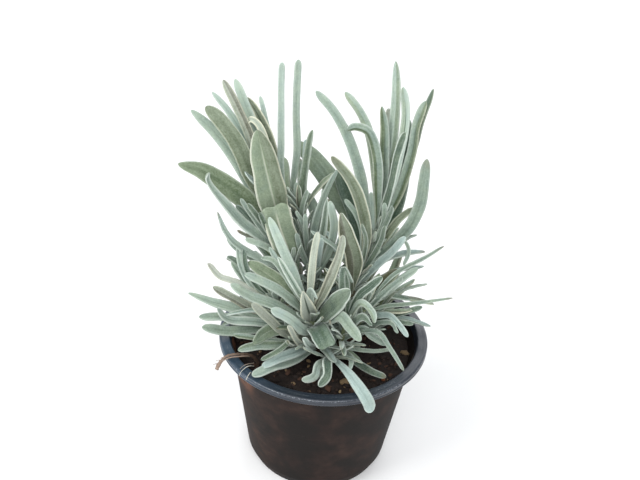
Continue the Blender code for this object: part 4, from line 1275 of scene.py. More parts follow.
def laid_out(line: StemLine, leaf: Leaf) -> Blade:
    """The blade of a sighted leaf.

    Args:
        line: The stem that bears it.
        leaf: The leaf.

    Returns:
        The blade, from its root on the stem to its tip.
    """
    root, _ = line.place(leaf.root)
    reach = len(leaf.way)
    lead = 0.6
    points = [root]
    for index, point in enumerate(reversed(leaf.way), start=1):
        share = (index + lead) / (reach + lead)
        points.append(SIGHT.at(point, root.y + (leaf.depth - root.y) * share))
    middle = points[reach // 2 + 1] if reach > 1 else points[-1]
    axis = (points[-1] - root).normalized()
    look = EYE - middle
    face = (look - axis * look.dot(axis)).normalized()
    face = Matrix.Rotation(math.radians(leaf.turn), 3, axis) @ face
    return Blade(points, face, leaf.width, math.radians(leaf.fold))


def whorl_blades(rule: Whorls, draw: random.Random) -> Iterator[Blade]:
    """The blades that a shoot bears by rule, long at mid height and steeper upwards.

    Args:
        rule: The pairs' sizes and the side that they face.
        draw: The seeded draws.

    Yields:
        Each blade.
    """
    line = StemLine(SHOOTS[rule.shoot])
    for pair in range(rule.pairs):
        share = pair / max(rule.pairs - 1, 1)
        root, growth = line.place(rule.first + (rule.last - rule.first) * share)
        for side in (0, 180):
            bearing = rule.facing + 90 * pair + side + draw.uniform(-rule.scatter, rule.scatter)
            off = (bearing - rule.facing + 180) % 360 - 180
            length = rule.length * (0.75 + 0.35 * math.sin(math.pi * share)) * draw.uniform(*rule.sizes)
            rise = math.radians(rule.rise + rule.steeper * share + draw.uniform(-rule.tilt, rule.tilt))
            width = rule.width * draw.uniform(*rule.sizes)
            fold = math.radians(draw.uniform(*rule.folds))
            droop = draw.uniform(*rule.droops)
            if abs(off) > rule.spread / 2:
                continue
            out = outward(bearing)
            heading = (math.cos(rise) * out + math.sin(rise) * (growth + UP) / 2).normalized()
            tip = root + length * heading - Vector((0, 0, droop * length))
            middle = root + 0.5 * length * heading + 0.03 * length * UP
            yield Blade([root, middle, tip], UP - 0.7 * out, width, fold)


# Meshes


def linked(name: str, data: bpy.types.ID) -> bpy.types.Object:
    """A new object, linked to the scene.

    Args:
        name: Its name.
        data: Its mesh, curve, light or camera.

    Returns:
        The object.
    """
    made = bpy.data.objects.new(name, data)
    bpy.context.scene.collection.objects.link(made)
    return made


def evaluated(made: bpy.types.Object) -> bpy.types.Mesh:
    """A new mesh of an object as its modifiers or its bevel leave it."""
    bpy.context.view_layer.update()
    return bpy.data.meshes.new_from_object(made.evaluated_get(bpy.context.evaluated_depsgraph_get()))


class Pile:
    """Closed surfaces gathered for one mesh, with the tone and the place that finishes read."""

    def __init__(self) -> None:
        """Start an empty pile."""
        self.points: list[np.ndarray] = []
        self.tones: list[np.ndarray] = []
        self.places: list[np.ndarray] = []
        self.marks: list[np.ndarray] = []
        self.faces: list[tuple] = []
        self.slots: list[int] = []
        self.count = 0

    def add(self, points: np.ndarray, faces: Sequence[tuple], tone: np.ndarray | Triple,
            place: np.ndarray | Triple = (0.0, 0.0, 0.0), marks: np.ndarray | Triple = (0.0, 0.0, 0.0),
            slot: int = 0) -> None:
        """Add a surface.

        Args:
            points: Its vertices in millimetres.
            faces: Its faces.
            tone: Its tone, one for all vertices or one for each.
            place: Its place values, likewise.
            marks: Its marks, likewise.
            slot: The number of the material that it takes.
        """
        self.points.append(points)
        for rows, value in ((self.tones, tone), (self.places, place), (self.marks, marks)):
            rows.append(np.broadcast_to(np.asarray(value, float), (len(points), 3)))
        self.faces.extend(tuple(i + self.count for i in face) for face in faces)
        self.slots.extend([slot] * len(faces))
        self.count += len(points)

    def made(self, name: str, materials: Sequence[bpy.types.Material]) -> bpy.types.Object:
        """The pile as one object.

        Args:
            name: The object's name.
            materials: The materials, by slot number.

        Returns:
            The object, linked to the scene and shaded smooth.
        """
        mesh = bpy.data.meshes.new(name)
        mesh.from_pydata((MM * np.concatenate(self.points)).tolist(), [], self.faces)
        for key, rows in (("tone", self.tones), ("place", self.places), ("marks", self.marks)):
            held = mesh.attributes.new(key, "FLOAT_VECTOR", "POINT")
            held.data.foreach_set("vector", np.concatenate(rows).astype(np.float32).ravel())
        for material in materials:
            mesh.materials.append(material)
        mesh.polygons.foreach_set("material_index", self.slots)
        mesh.shade_smooth()
        return linked(name, mesh)


def wall(rings: int, around: int) -> list[tuple]:
    """The faces between the rings of a tube.

    Args:
        rings: How many rings.
        around: How many vertices each ring has.

    Returns:
        The faces, looking out.
    """
    faces = []
    for low in range(0, (rings - 1) * around, around):
        for j in range(around):
            k = (j + 1) % around
            faces.append((low + j, low + k, low + around + k, low + around + j))
    return faces


def skin(rings: int, around: int) -> list[tuple]:
    """The faces of a closed tube, whose rings are followed by its first and its last point.

    Args:
        rings: How many rings.
        around: How many vertices each ring has.

    Returns:
        The faces, looking out.
    """
    faces = wall(rings, around)
    last = (rings - 1) * around
    for j in range(around):
        k = (j + 1) % around
        faces.append((k, j, rings * around))
        faces.append((last + j, last + k, rings * around + 1))
    return faces


def blade_skin(rings: int, around: int) -> list[tuple]:
    """The faces of a flat closed tube, whose ends are closed from the upper side to the lower.

    Args:
        rings: How many rings.
        around: How many vertices each ring has.

    Returns:
        The faces, looking out.
    """
    faces = wall(rings, around)
    last = (rings - 1) * around
    for j in range(around // 2):
        strip = list(dict.fromkeys((j, j + 1, around - j - 1, (around - j) % around)))
        faces.append(tuple(strip[::-1]))
        faces.append(tuple(last + i for i in strip))
    return faces


def lathed(profile: Sequence[Point], steps: int) -> tuple[np.ndarray, list[tuple]]:
    """A surface turned round the Z axis from a profile that runs down its outer side.

    Args:
        profile: Radius and height of each point, the first and last on the axis.
        steps: How many steps round.

    Returns:
        The vertices and faces.
    """
    angles = np.linspace(0, math.tau, steps, endpoint=False)
    circle = np.stack([np.cos(angles), np.sin(angles)], 1)
    rings = [np.hstack([radius * circle, np.full((steps, 1), height)]) for radius, height in profile[1:-1]]
    ends = [(0.0, 0.0, profile[0][1]), (0.0, 0.0, profile[-1][1])]
    faces = [face[::-1] for face in skin(len(rings), steps)]
    return np.concatenate([*rings, np.array(ends)]), faces


def tube(route: Sequence[Vector], radii: Sequence[float], around: int = 10,
         square: float = 0.0) -> tuple[np.ndarray, list[tuple], np.ndarray]:
    """A round or squarish tube along a line.

    Args:
        route: The points of the line.
        radii: The radius at each.
        around: How many vertices each ring has.
        square: How far its corners stand out, as a share.

    Returns:
        The vertices, the faces and each vertex's share of the length.
    """
    count = len(route)
    normal = Vector((1, 0, 0))
    rings = []
    for index, point in enumerate(route):
        tangent = (route[min(index + 1, count - 1)] - route[max(index - 1, 0)]).normalized()
        normal = (normal - tangent * normal.dot(tangent)).normalized()
        side = normal.cross(tangent)
        for j in range(around):
            angle = math.tau * j / around
            radius = radii[index] * (1 + square * math.cos(4 * angle))
            rings.append(point + radius * (math.cos(angle) * side + math.sin(angle) * normal))
    rings.extend([route[0], route[-1]])
    shares = np.concatenate([np.repeat(np.linspace(0, 1, count), around), [0.0, 1.0]])
    return np.array([tuple(p) for p in rings]), skin(count, around), shares


def bake(made: bpy.types.Object) -> None:
    """Apply an object's modifiers.

    Args:
        made: The object, which takes the mesh that they give.
    """
    mesh = evaluated(made)
    made.modifiers.clear()
    made.data = mesh


# The pieces


def dressed(made: bpy.types.Object, node: str) -> bpy.types.Object:
    """Let a piece stand for a node and ride on the body.

    Args:
        made: The piece.
        node: The node that it stands for.

    Returns:
        The piece.
    """
    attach(made, BODY)
    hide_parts(node)
    triangles = sum(len(face.vertices) - 2 for face in made.data.polygons)
    LOG.info("%s: %d triangles, stands for %s", made.name, triangles, node)
    return made


@dataclass(frozen=True)
class LeafSkin:
    """The fine surface of a blade: a felted channel with rolled margins, a midrib and a round tip.

    The pad, the rib and the notch are so many half widths wide. The spans of the crease, the cup and the
    notch are shares of the length.
    """

    stations: int = 40
    around: int = 28
    fine_steps: int = 65
    thickness: float = 0.9
    pad: float = math.radians(14)
    pad_width: float = 0.9
    fold_gain: float = 1.6
    roll: float = math.radians(62)
    roll_from: float = 0.68
    rib: float = 0.28
    narrowing: float = 0.1
    tapering: float = 0.55
    round_end: float = 0.85
    longest_end: float = 0.45
    lumps: float = 0.13
    lump_size: float = 2.6
    line_steps: int = 81
    packing: float = 0.985
    twist: float = 16.0
    rib_width: float = 0.16
    most_folded: float = math.radians(70)
    creased: Point = (0.0, 0.3)
    cupped: Point = (0.55, 0.9)
    notched: Point = (0.62, 1.0)
    notch_width: float = 0.3

    def section(self, folds: np.ndarray) -> tuple[np.ndarray, np.ndarray, np.ndarray, np.ndarray]:
        """The cross section at each station, for a half width of one.

        Args:
            folds: The angle that both halves are lifted by, at each station.

        Returns:
            How far aside each point of each ring lies, how far up, its slope, and the ring's shares across.
        """
        fine = np.linspace(0, 1, self.fine_steps)
        padded = self.pad * np.cos(math.pi * np.minimum(fine / self.pad_width, 1.0))
        slope = self.fold_gain * folds[:, None] * fine ** 0.8 + padded
        slope -= self.roll * eased(self.roll_from, 1.0, fine)
        start = np.zeros((len(folds), 1))
        out, up = (np.hstack([start, np.cumsum(part(slope[:, :-1]), 1)]) for part in (np.cos, np.sin))
        scale = np.cos(folds)[:, None] / out[:, -1:]
        across = np.cos(np.linspace(0, math.tau, self.around, endpoint=False))
        share = np.abs(across)
        aside, lift, tilt = (np.array([np.interp(share, fine, row) for row in rows])
                             for rows in (out * scale, up * scale, slope))
        return aside * np.sign(across), lift, tilt * np.sign(across), across

    def half_widths(self, blade: Blade, shares: np.ndarray, shape: Shape) -> np.ndarray:
        """Half the blade's width at each station: a narrow foot, a strap, and a round end.

        Args:
            blade: The blade.
            shares: The stations.
            shape: Its shape. With a notch its end stays broad, for two lobes.

        Returns:
            The half widths.
        """
        width = shape.wide * blade.width
        foot = foot_width(width)
        body = foot + (width - foot) * eased(0.0, 1.0, np.minimum(shares / shape.belly, 1.0))
        if shape.notch > 0:
            return body / 2
        past = np.clip((shares - shape.belly) / (1 - shape.belly), 0, 1)
        body *= 1 - (self.narrowing + self.tapering * shape.taper) * past ** 1.7
        reach = min((self.round_end + shape.taper) * width / blade.length(), self.longest_end)
        end = np.clip((shares - 1 + reach) / reach, 0, 1)
        return body / 2 * np.sqrt(np.maximum(1 - end ** 2.1, 0.0))

    @staticmethod
    def wander(shares: np.ndarray, draw: random.Random) -> np.ndarray:
        """A slow wave along the blade with finer ones on it, about 1 high at most."""
        waves = [(draw.uniform(4, 9), 0.55), (draw.uniform(12, 20), 0.3), (draw.uniform(26, 38), 0.15)]
        return sum(high * np.sin(pace * shares + draw.uniform(0, math.tau)) for pace, high in waves)

    def stations_of(self, grown: "Grown", draw: random.Random) -> tuple:
        """Where the rings of a blade lie, curled and a little twisted.

        Args:
            grown: The blade with its looks.
            draw: The seeded draws.

        Returns:
            The shares of the length, and at each the point, the way ahead, the side and the face.
        """
        frames = [np.array([tuple(v) for v in rows]) for rows in grown.blade.frames(self.line_steps)]
        curled = self.curled(*frames, math.radians(grown.shape.curl))
        even = np.linspace(0, 1, self.line_steps)
        quarter = np.linspace(0.0, math.pi / 2 * self.packing, self.stations)
        shares = np.sin(quarter) / math.sin(quarter[-1])
        line, ahead, face = (np.stack([np.interp(shares, even, row) for row in rows.T], 1) for rows in curled)
        ahead /= np.linalg.norm(ahead, axis=1)[:, None]
        face -= ahead * np.sum(face * ahead, 1)[:, None]
        face /= np.linalg.norm(face, axis=1)[:, None]
        side = np.cross(face, ahead)
        twist = (math.radians(draw.uniform(-self.twist, self.twist)) * (shares - 0.4))[:, None]
        turned = side * np.cos(twist) + face * np.sin(twist)
        return shares, line, ahead, turned, face * np.cos(twist) - side * np.sin(twist)

    def cut(self, width: float, depth: float, across: np.ndarray, shares: np.ndarray) -> np.ndarray:
        """How far each point of a broad end is drawn back, for two lobes with a notch between them.

        Args:
            width: The blade's width.
            depth: The notch's depth.
            across: Each point's place across.
            shares: Each ring's share of the length.

        Returns:
            The lengths, by ring and point.
        """
        corner = 0.5 * width * (1 - np.sqrt(1 - np.minimum(np.abs(across), 0.999) ** 3))
        notch = depth * np.exp(-(across / self.notch_width) ** 2)
        return (corner + notch)[None, :] * eased(*self.notched, shares)[:, None]

    def surface(self, grown: "Grown", draw: random.Random) -> tuple:
        """The blade's surface.

        Args:
            grown: The blade with its looks.
            draw: The seeded draws for its waves.

        Returns:
            The vertices, the faces, each vertex's place across, along and on which face.
        """
        shape = grown.shape
        width = shape.wide * grown.blade.width
        shares, line, ahead, side, face = self.stations_of(grown, draw)
        folded = shape.crease * eased(*self.creased, shares) + shape.cup * eased(*self.cupped, shares)
        folds = np.minimum(grown.blade.fold + np.radians(folded), self.most_folded)
        aside, up, slope, across = self.section(folds)
        ring = np.linspace(0, math.tau, self.around, endpoint=False)
        top = np.where(np.sin(ring) >= -1e-9, 1.0, -1.0)[None, :]
        near = np.where(shares == 1.0, 0.999, shares)
        half = self.half_widths(grown.blade, near, shape)[:, None]
        left, right, wave, drift = (self.wander(shares, draw)[:, None] for _ in range(4))
        ripple = np.where(across[None, :] > 0, right, left)
        thin = np.sqrt(np.maximum(1 - np.clip((shares - 0.93) / 0.07, 0, 1) ** 2.2, 0.004))
        thick = (self.thickness * min(1.0, 0.55 + width / 9) * (1 - 0.22 * shares) * thin)[:, None]
        wide = np.abs(across)
        shell = 0.5 * thick * np.sqrt(np.maximum(1 - wide ** 7, 0.0))[None, :] * top
        fade = half / half.max()
        ridge = self.rib * (1 - 0.6 * shares[:, None]) * fade * np.exp(-(wide / self.rib_width) ** 2)[None, :]
        undulate = half * (0.16 * wave * wide * across + 0.09 * drift * wide ** 2)
        x = half * (1 + 0.075 * ripple) * aside - shell * np.sin(slope)
        y = half * up + shell * np.cos(slope) - ridge * (top < 0) + undulate
        points = line[:, None, :] + x[:, :, None] * side[:, None, :] + y[:, :, None] * face[:, None, :]
        points = points + self.lumps * fade[:, :, None] * self.lumpy(points)[:, :, None] * face[:, None, :]
        if shape.notch > 0:
            cut = self.cut(width, shape.notch, across, shares)
            points = points - cut[:, :, None] * ahead[:, None, :]
        place = np.stack(np.broadcast_arrays(across[None, :], shares[:, None], np.sin(ring)[None, :]), 2)
        return points.reshape(-1, 3), blade_skin(self.stations, self.around), place.reshape(-1, 3)

    def lumpy(self, points: np.ndarray) -> np.ndarray:
        """A slow unevenness of the surface at each point, about -1 to 1."""
        rows = [noise.noise(Vector(point) / self.lump_size) for point in points.reshape(-1, 3)]
        return 2 * np.array(rows).reshape(points.shape[:2])

    @staticmethod
    def curled(route: np.ndarray, tangents: np.ndarray, normals: np.ndarray, curl: float) -> tuple:
        """The line with its tip rolled up or down.

        Args:
            route: The line's points.
            tangents: The ways that it runs.
            normals: The ways that its face looks.
            curl: The angle at the tip, in radians.

        Returns:
            The rolled line, tangents and normals.
        """
        if abs(curl) < 1e-6:
            return route, tangents, normals
        steps = np.linspace(0, 1, len(route))
        reach = min(0.1 + 0.1 * abs(curl), 0.3)
        angle = (curl * eased(1 - reach, 1.0, steps))[:, None]
        ahead = tangents * np.cos(angle) + normals * np.sin(angle)
        face = normals * np.cos(angle) - tangents * np.sin(angle)
        pieces = np.linalg.norm(np.diff(route, axis=0), axis=1)[:, None]
        moved = route.copy()
        moved[1:] = route[0] + np.cumsum((ahead[:-1] + ahead[1:]) / 2 * pieces, axis=0)
        still = int(len(route) * (1 - reach)) - 1
        moved[:still] = route[:still]
        moved[still:] += route[still] - moved[still]
        return moved, ahead, face


@dataclass
class Grown:
    """A placed blade with its looks.

    The rim, a pale margin that is partly painted rim light, is so many millimetres wide and starts within
    a span of the half width.
    """

    blade: Blade
    tone: tuple
    under: tuple
    shape: Shape
    surface: LeafSkin
    rim_width: float = 1.9
    rim_from: Point = (0.62, 0.82)
    # The span across the midrib over which the painted shade of one half fades in.
    midline: float = 0.18

    def looks(self, place: np.ndarray, own: float) -> tuple[np.ndarray, np.ndarray, np.ndarray]:
        """What the felt reads at each vertex.

        Args:
            place: Each vertex's place across, along and on which face.
            own: The blade's own number, for its streaks.

        Returns:
            The tones, the places with the strength of the pale midrib or of the painted groove shade, and the
            pale margin, the painted shade of one half and the blade's own number.
        """
        shape = self.shape
        across = place[:, 0]
        share = eased(-0.5, 0.5, place[:, 2])[:, None]
        tone = np.array([*self.tone, shape.dry]) * share + np.array([*self.under, shape.dry]) * (1 - share)
        # Below 0, this paints shade into the midrib's groove, above or beneath.
        vein_and_groove_shade = shape.vein_and_groove_shade * share + shape.rib * (1 - share)
        # Painted shade on one half of the blade, fading in across the midline.
        lean = shape.split * (2 * eased(-self.midline, self.midline, across) - 1)
        least, most = self.rim_from
        start = min(max(1 - self.rim_width / (shape.wide * self.blade.width), least), most)
        # The pale margin, partly whiter hairs and partly painted rim light.
        rim = shape.rim * eased(start, 0.45 * start + 0.55, np.abs(across))
        return tone, np.hstack([place[:, :2], vein_and_groove_shade]), np.stack([rim, lean, np.full_like(lean, own)], 1)


@dataclass
class LeafyShoot:
    """One leafy stem: its bare stem, and its blades with their looks."""

    name: str
    line: StemLine
    leaves: list = field(default_factory=list)
    surface: LeafSkin = LeafSkin()
    plainer: LeafSkin = LeafSkin(stations=30, around=20)
    small: LeafSkin = LeafSkin(stations=16, around=16)
    small_leaf: float = 20.0
    stem_bends: int = 36
    stem_around: int = 16
    squareness: float = 0.07
    node_height: float = 1.1
    slimness: float = 0.86
    swelling: float = 0.16

    def bear(self, leaf: Leaf, moved: Blade, draw: random.Random) -> None:
        """Take on a sighted leaf.

        Args:
            leaf: The leaf as it was sighted.
            moved: Its settled blade.
            draw: The seeded draws.
        """
        warm, pale = leaf.tone.value
        tone = (warm + draw.uniform(-0.06, 0.06), pale + draw.uniform(-0.05, 0.05))
        shown_under = abs(leaf.turn) > 90
        other = (0.25, 0.75) if shown_under else (min(warm + 0.25, 1.0), max(pale - 0.2, 0.05))
        above, below = (other, tone) if shown_under else (tone, other)
        curl = draw.uniform(-14, 16) if leaf.shape.curl is None else leaf.shape.curl
        axis = (moved.points[-1] - moved.points[0]).normalized()
        right, top, _ = SIGHT.axes()
        # The half towards the lower left of the view takes the painted shade.
        lean = math.copysign(1.0, moved.face.cross(axis).dot(right + 0.6 * top))
        shape = replace(leaf.shape, curl=curl, split=-lean * leaf.shape.split)
        self.leaves.append(Grown(moved, above, below, shape, self.surface))

    def bear_by_rule(self, blade: Blade, draw: random.Random, tones: Sequence[Tone]) -> None:
        """Take on a leaf that the rule laid out, with drawn looks.

        Args:
            blade: Its settled blade.
            draw: The seeded draws.
            tones: The tones to choose from.
        """
        warm, pale = draw.choice(tones).value
        tone = (warm + draw.uniform(-0.1, 0.1), pale + draw.uniform(-0.12, 0.1))
        under = (min(tone[0] + 0.25, 0.8), max(tone[1] - 0.2, 0.05))
        shape = Shape(
            curl=draw.uniform(-18, 30),
            cup=draw.choice((0, 0, 12, 30)),
            taper=draw.uniform(0.0, 0.6),
            belly=draw.uniform(0.45, 0.65),
            wide=draw.uniform(0.95, 1.15),
            dry=draw.uniform(0.3, 0.8) if draw.random() < 0.1 else 0.0,
            rim=draw.uniform(0.4, 1.1),
            # Mostly a little painted shade in the midrib's groove.
            vein_and_groove_shade=draw.uniform(-0.5, 0.1),
            # One half of the blade may take painted shade, on a side drawn at random.
            split=draw.choice((-0.5, 0.0, 0.0, 0.5)),
        )
        surface = self.small if blade.length() < self.small_leaf else self.plainer
        self.leaves.append(Grown(blade, tone, under, shape, surface))

    def build(self, felt: bpy.types.Material, bark: bpy.types.Material,
              draw: random.Random) -> bpy.types.Object:
        """Make the shoot's mesh.

        Args:
            felt: The leaves' material.
            bark: The stem's material.
            draw: The seeded draws.

        Returns:
            The dressed object.
        """
        pile = Pile()
        for grown in self.leaves:
            points, faces, place = grown.surface.surface(grown, draw)
            pile.add(points, faces, *grown.looks(place, draw.uniform(0, 90)))
        self.add_stem(pile)
        return dressed(pile.made(self.name + "_leaves", [felt, bark]), self.name)

    def add_stem(self, pile: Pile) -> None:
        """Add the squarish stem, thicker where leaves spring from it.

        Args:
            pile: The pile to add it to.
        """
        route = self.line.points(self.stem_bends)
        radii = self.line.radii(self.stem_bends + 1)
        roots = [grown.blade.points[0].z for grown in self.leaves]
        swollen = []
        for point, radius in zip(route, radii):
            near = max((math.exp(-((point.z - root) / self.node_height) ** 2) for root in roots), default=0.0)
            swollen.append(radius * (self.slimness + self.swelling * near))
        points, faces, shares = tube(route, swollen, self.stem_around, self.squareness)
        place = np.stack([np.zeros_like(shares), shares, np.zeros_like(shares)], 1)
        pile.add(points, faces, (0.6, 0.5, 0.0), place, slot=1)


@dataclass(frozen=True)
class YoungLeaves:
    """The rule for the small young leaves in a stem's axils.

    Angles are in degrees, and the spans are the draws' lowest and highest. The leaves are longer where the
    stem is low, and rise more steeply up it.
    """

    first: float = 71.5
    below_top: float = 2.0
    below_bud: float = 14.0
    gaps: Point = (1.5, 2.7)
    close_gaps: Point = (0.7, 1.3)
    scatter: float = 25.0
    lengths: Point = (9.0, 17.0)
    longer: Point = (0.0, 7.0)
    longer_below: float = 84.0
    steeper_from: float = 78.0
    steeper_over: float = 22.0
    low_rises: Point = (18.0, 60.0)
    high_rises: Point = (58.0, 78.0)
    bows: Point = (-0.16, 0.2)
    widths: Point = (1.8, 3.2)
    folds: Point = (8.0, 34.0)
    tries: int = 17

    def blades(self, line: StemLine, stop: float, gaps: Point, draw: random.Random) -> Iterator[Blade]:
        """The young leaves of a stem, in pairs from the soil up.

        Args:
            line: The stem's line.
            stop: How far below its end they stop.
            gaps: The span that the gap between two pairs is drawn from.
            draw: The seeded draws.

        Yields:
            Each blade.
        """
        height = self.first
        top = line.points()[-1].z - stop
        while height < top:
            root, growth = line.place(height)
            high = min(max((height - self.steeper_from) / self.steeper_over, 0.0), 1.0)
            bearing = draw.uniform(0, 360)
            for side in (0, 180):
                out = outward(bearing + side + draw.uniform(-self.scatter, self.scatter))
                length = draw.uniform(*self.lengths)
                length += draw.uniform(*self.longer) if height < self.longer_below else 0.0
                low_rise = draw.uniform(*self.low_rises)
                rise = math.radians(low_rise * (1 - high) + draw.uniform(*self.high_rises) * high)
                heading = (math.cos(rise) * out + math.sin(rise) * growth).normalized()
                bow = draw.uniform(*self.bows) * (1 - 0.6 * high) * length
                middle = root + 0.55 * length * heading
                tip = root + length * heading - Vector((0, 0, bow))
                width = draw.uniform(*self.widths)
                fold = math.radians(draw.uniform(*self.folds))
                yield Blade([root, middle, tip], UP - 0.7 * out, width, fold)
            height += draw.uniform(*gaps)


@dataclass(frozen=True)
class Tuft:
    """The rule for the small leaves that close a stem's end, two by two and steeper inwards."""

    leaves: int = 6
    scatter: float = 12.0
    lengths: Point = (6.5, 10.5)
    shorter: float = 0.6
    lean: float = 0.5
    steeper: float = 0.12
    depth: float = 2.6
    step: float = 0.4
    widths: Point = (1.9, 2.7)
    fold: float = math.radians(22)

    def blades(self, line: StemLine, draw: random.Random) -> Iterator[Blade]:
        """The tuft's leaves.

        Args:
            line: The stem's line.
            draw: The seeded draws.

        Yields:
            Each blade.
        """
        top, growth = line.place(math.inf)
        for index in range(self.leaves):
            pair = index // 2
            out = outward(90 * index + 45 * (index // 4) + draw.uniform(-self.scatter, self.scatter))
            length = draw.uniform(*self.lengths) - self.shorter * pair
            heading = (growth + (self.lean - self.steeper * pair) * out).normalized()
            root = top - growth * (self.depth - self.step * index)
            points = [root, root + 0.5 * length * heading, root + length * heading]
            yield Blade(points, -out + 0.2 * growth, draw.uniform(*self.widths), self.fold)


@dataclass
class Plant:
    """All the leafy shoots, laid out clear of the pot, the soil and each other."""

    clearing: Clearing = field(default_factory=Clearing)
    shoots: dict = field(default_factory=dict)
    grown_tones: tuple = (Tone.SAGE, Tone.PALE, Tone.BLUE, Tone.SAGE, Tone.MOSS, Tone.DUSK, Tone.GREY)
    young_tones: tuple = (Tone.PALE, Tone.MIST, Tone.SAGE, Tone.PALE)
    crowded: tuple = ("shoot_front", "shoot_rim", "shoot_front_left", "shoot_front_right", "shoot_middle")
    bud: str = "shoot_front"
    tuft: Tuft = Tuft()
    young_leaves: YoungLeaves = YoungLeaves()

    def obstacles(self) -> None:
        """Put the solids that leaves keep clear of into the clearing."""
        for node in ("pot", "soil", "dry_stalk"):
            self.clearing.placed.append(Solid.of_mesh(node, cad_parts[node].data))
        for name, shoot in SHOOTS.items():
            self.clearing.placed.append(self.stem_solid(name, StemLine(shoot)))

    @staticmethod
    def stem_solid(name: str, line: StemLine) -> Solid:
        """The plain form of a stem.

        Args:
            name: The shoot's name.
            line: The stem's line.

        Returns:
            The solid.
        """
        curve = bpy.data.curves.new(name, "CURVE")
        curve.dimensions = "3D"
        curve.bevel_depth = MM
        curve.bevel_resolution = 1
        curve.use_fill_caps = True
        points = line.points()
        spline = curve.splines.new("POLY")
        spline.points.add(len(points) - 1)
        for place, point, radius in zip(spline.points, points, line.radii(len(points))):
            place.co = (*(MM * point), 1.0)
            place.radius = radius
        guide = linked(name + "_guide", curve)
        mesh = evaluated(guide)
        solid = Solid.of_mesh(name, mesh)
        bpy.data.objects.remove(guide, do_unlink=True)
        bpy.data.meshes.remove(mesh)
        return solid

    def grow(self) -> None:
        """Lay out every leaf: the sighted ones, then those by rule, then the tufts and the young leaves."""
        self.obstacles()
        looks = random.Random(SEED + 1)
        for name, shoot in SHOOTS.items():
            self.shoots[name] = LeafyShoot(name, StemLine(shoot))
            for leaf in shoot.leaves:
                moved = self.clearing.settle(name, laid_out(self.shoots[name].line, leaf))
                if moved is not None:
                    self.shoots[name].bear(leaf, moved, looks)
        draw = random.Random(SEED)
        for rule in WHORLS:
            for blade in whorl_blades(rule, draw):
                self.bear_by_rule(rule.shoot, blade, looks, self.grown_tones)
        young = random.Random(SEED + 2)
        self.add_tufts(young)
        self.add_young_leaves(young)

    def bear_by_rule(self, name: str, blade: Blade, looks: random.Random, tones: Sequence[Tone],
                     tries: int | None = None) -> None:
        """Settle a blade that a rule laid out, and let its shoot bear it if it found a clear place.

        Args:
            name: The shoot's name.
            blade: The blade.
            looks: The seeded draws for its looks.
            tones: The tones to choose from.
            tries: The most places to try, or None for all.
        """
        moved = self.clearing.settle(name, blade, tries)
        if moved is not None:
            self.shoots[name].bear_by_rule(moved, looks, tones)

    def add_tufts(self, draw: random.Random) -> None:
        """Close each stem's end with small leaves, but for the one whose closed bud shows.

        Args:
            draw: The seeded draws.
        """
        for name, shoot in self.shoots.items():
            if name != self.bud:
                for blade in self.tuft.blades(shoot.line, draw):
                    self.bear_by_rule(name, blade, draw, self.young_tones)

    def add_young_leaves(self, draw: random.Random) -> None:
        """Fill the axils with the small young leaves that each stem bears between its pairs.

        Args:
            draw: The seeded draws.
        """
        rule = self.young_leaves
        for name, shoot in self.shoots.items():
            stop = rule.below_bud if name == self.bud else rule.below_top
            gaps = rule.close_gaps if name in self.crowded else rule.gaps
            for blade in rule.blades(shoot.line, stop, gaps, draw):
                self.bear_by_rule(name, blade, draw, self.young_tones, rule.tries)

    def build(self) -> None:
        """Make every shoot."""
        felt = LeafFelt().make()
        bark = StemSkin().make()
        for index, shoot in enumerate(self.shoots.values()):
            shoot.build(felt, bark, random.Random(SEED + 100 + index))


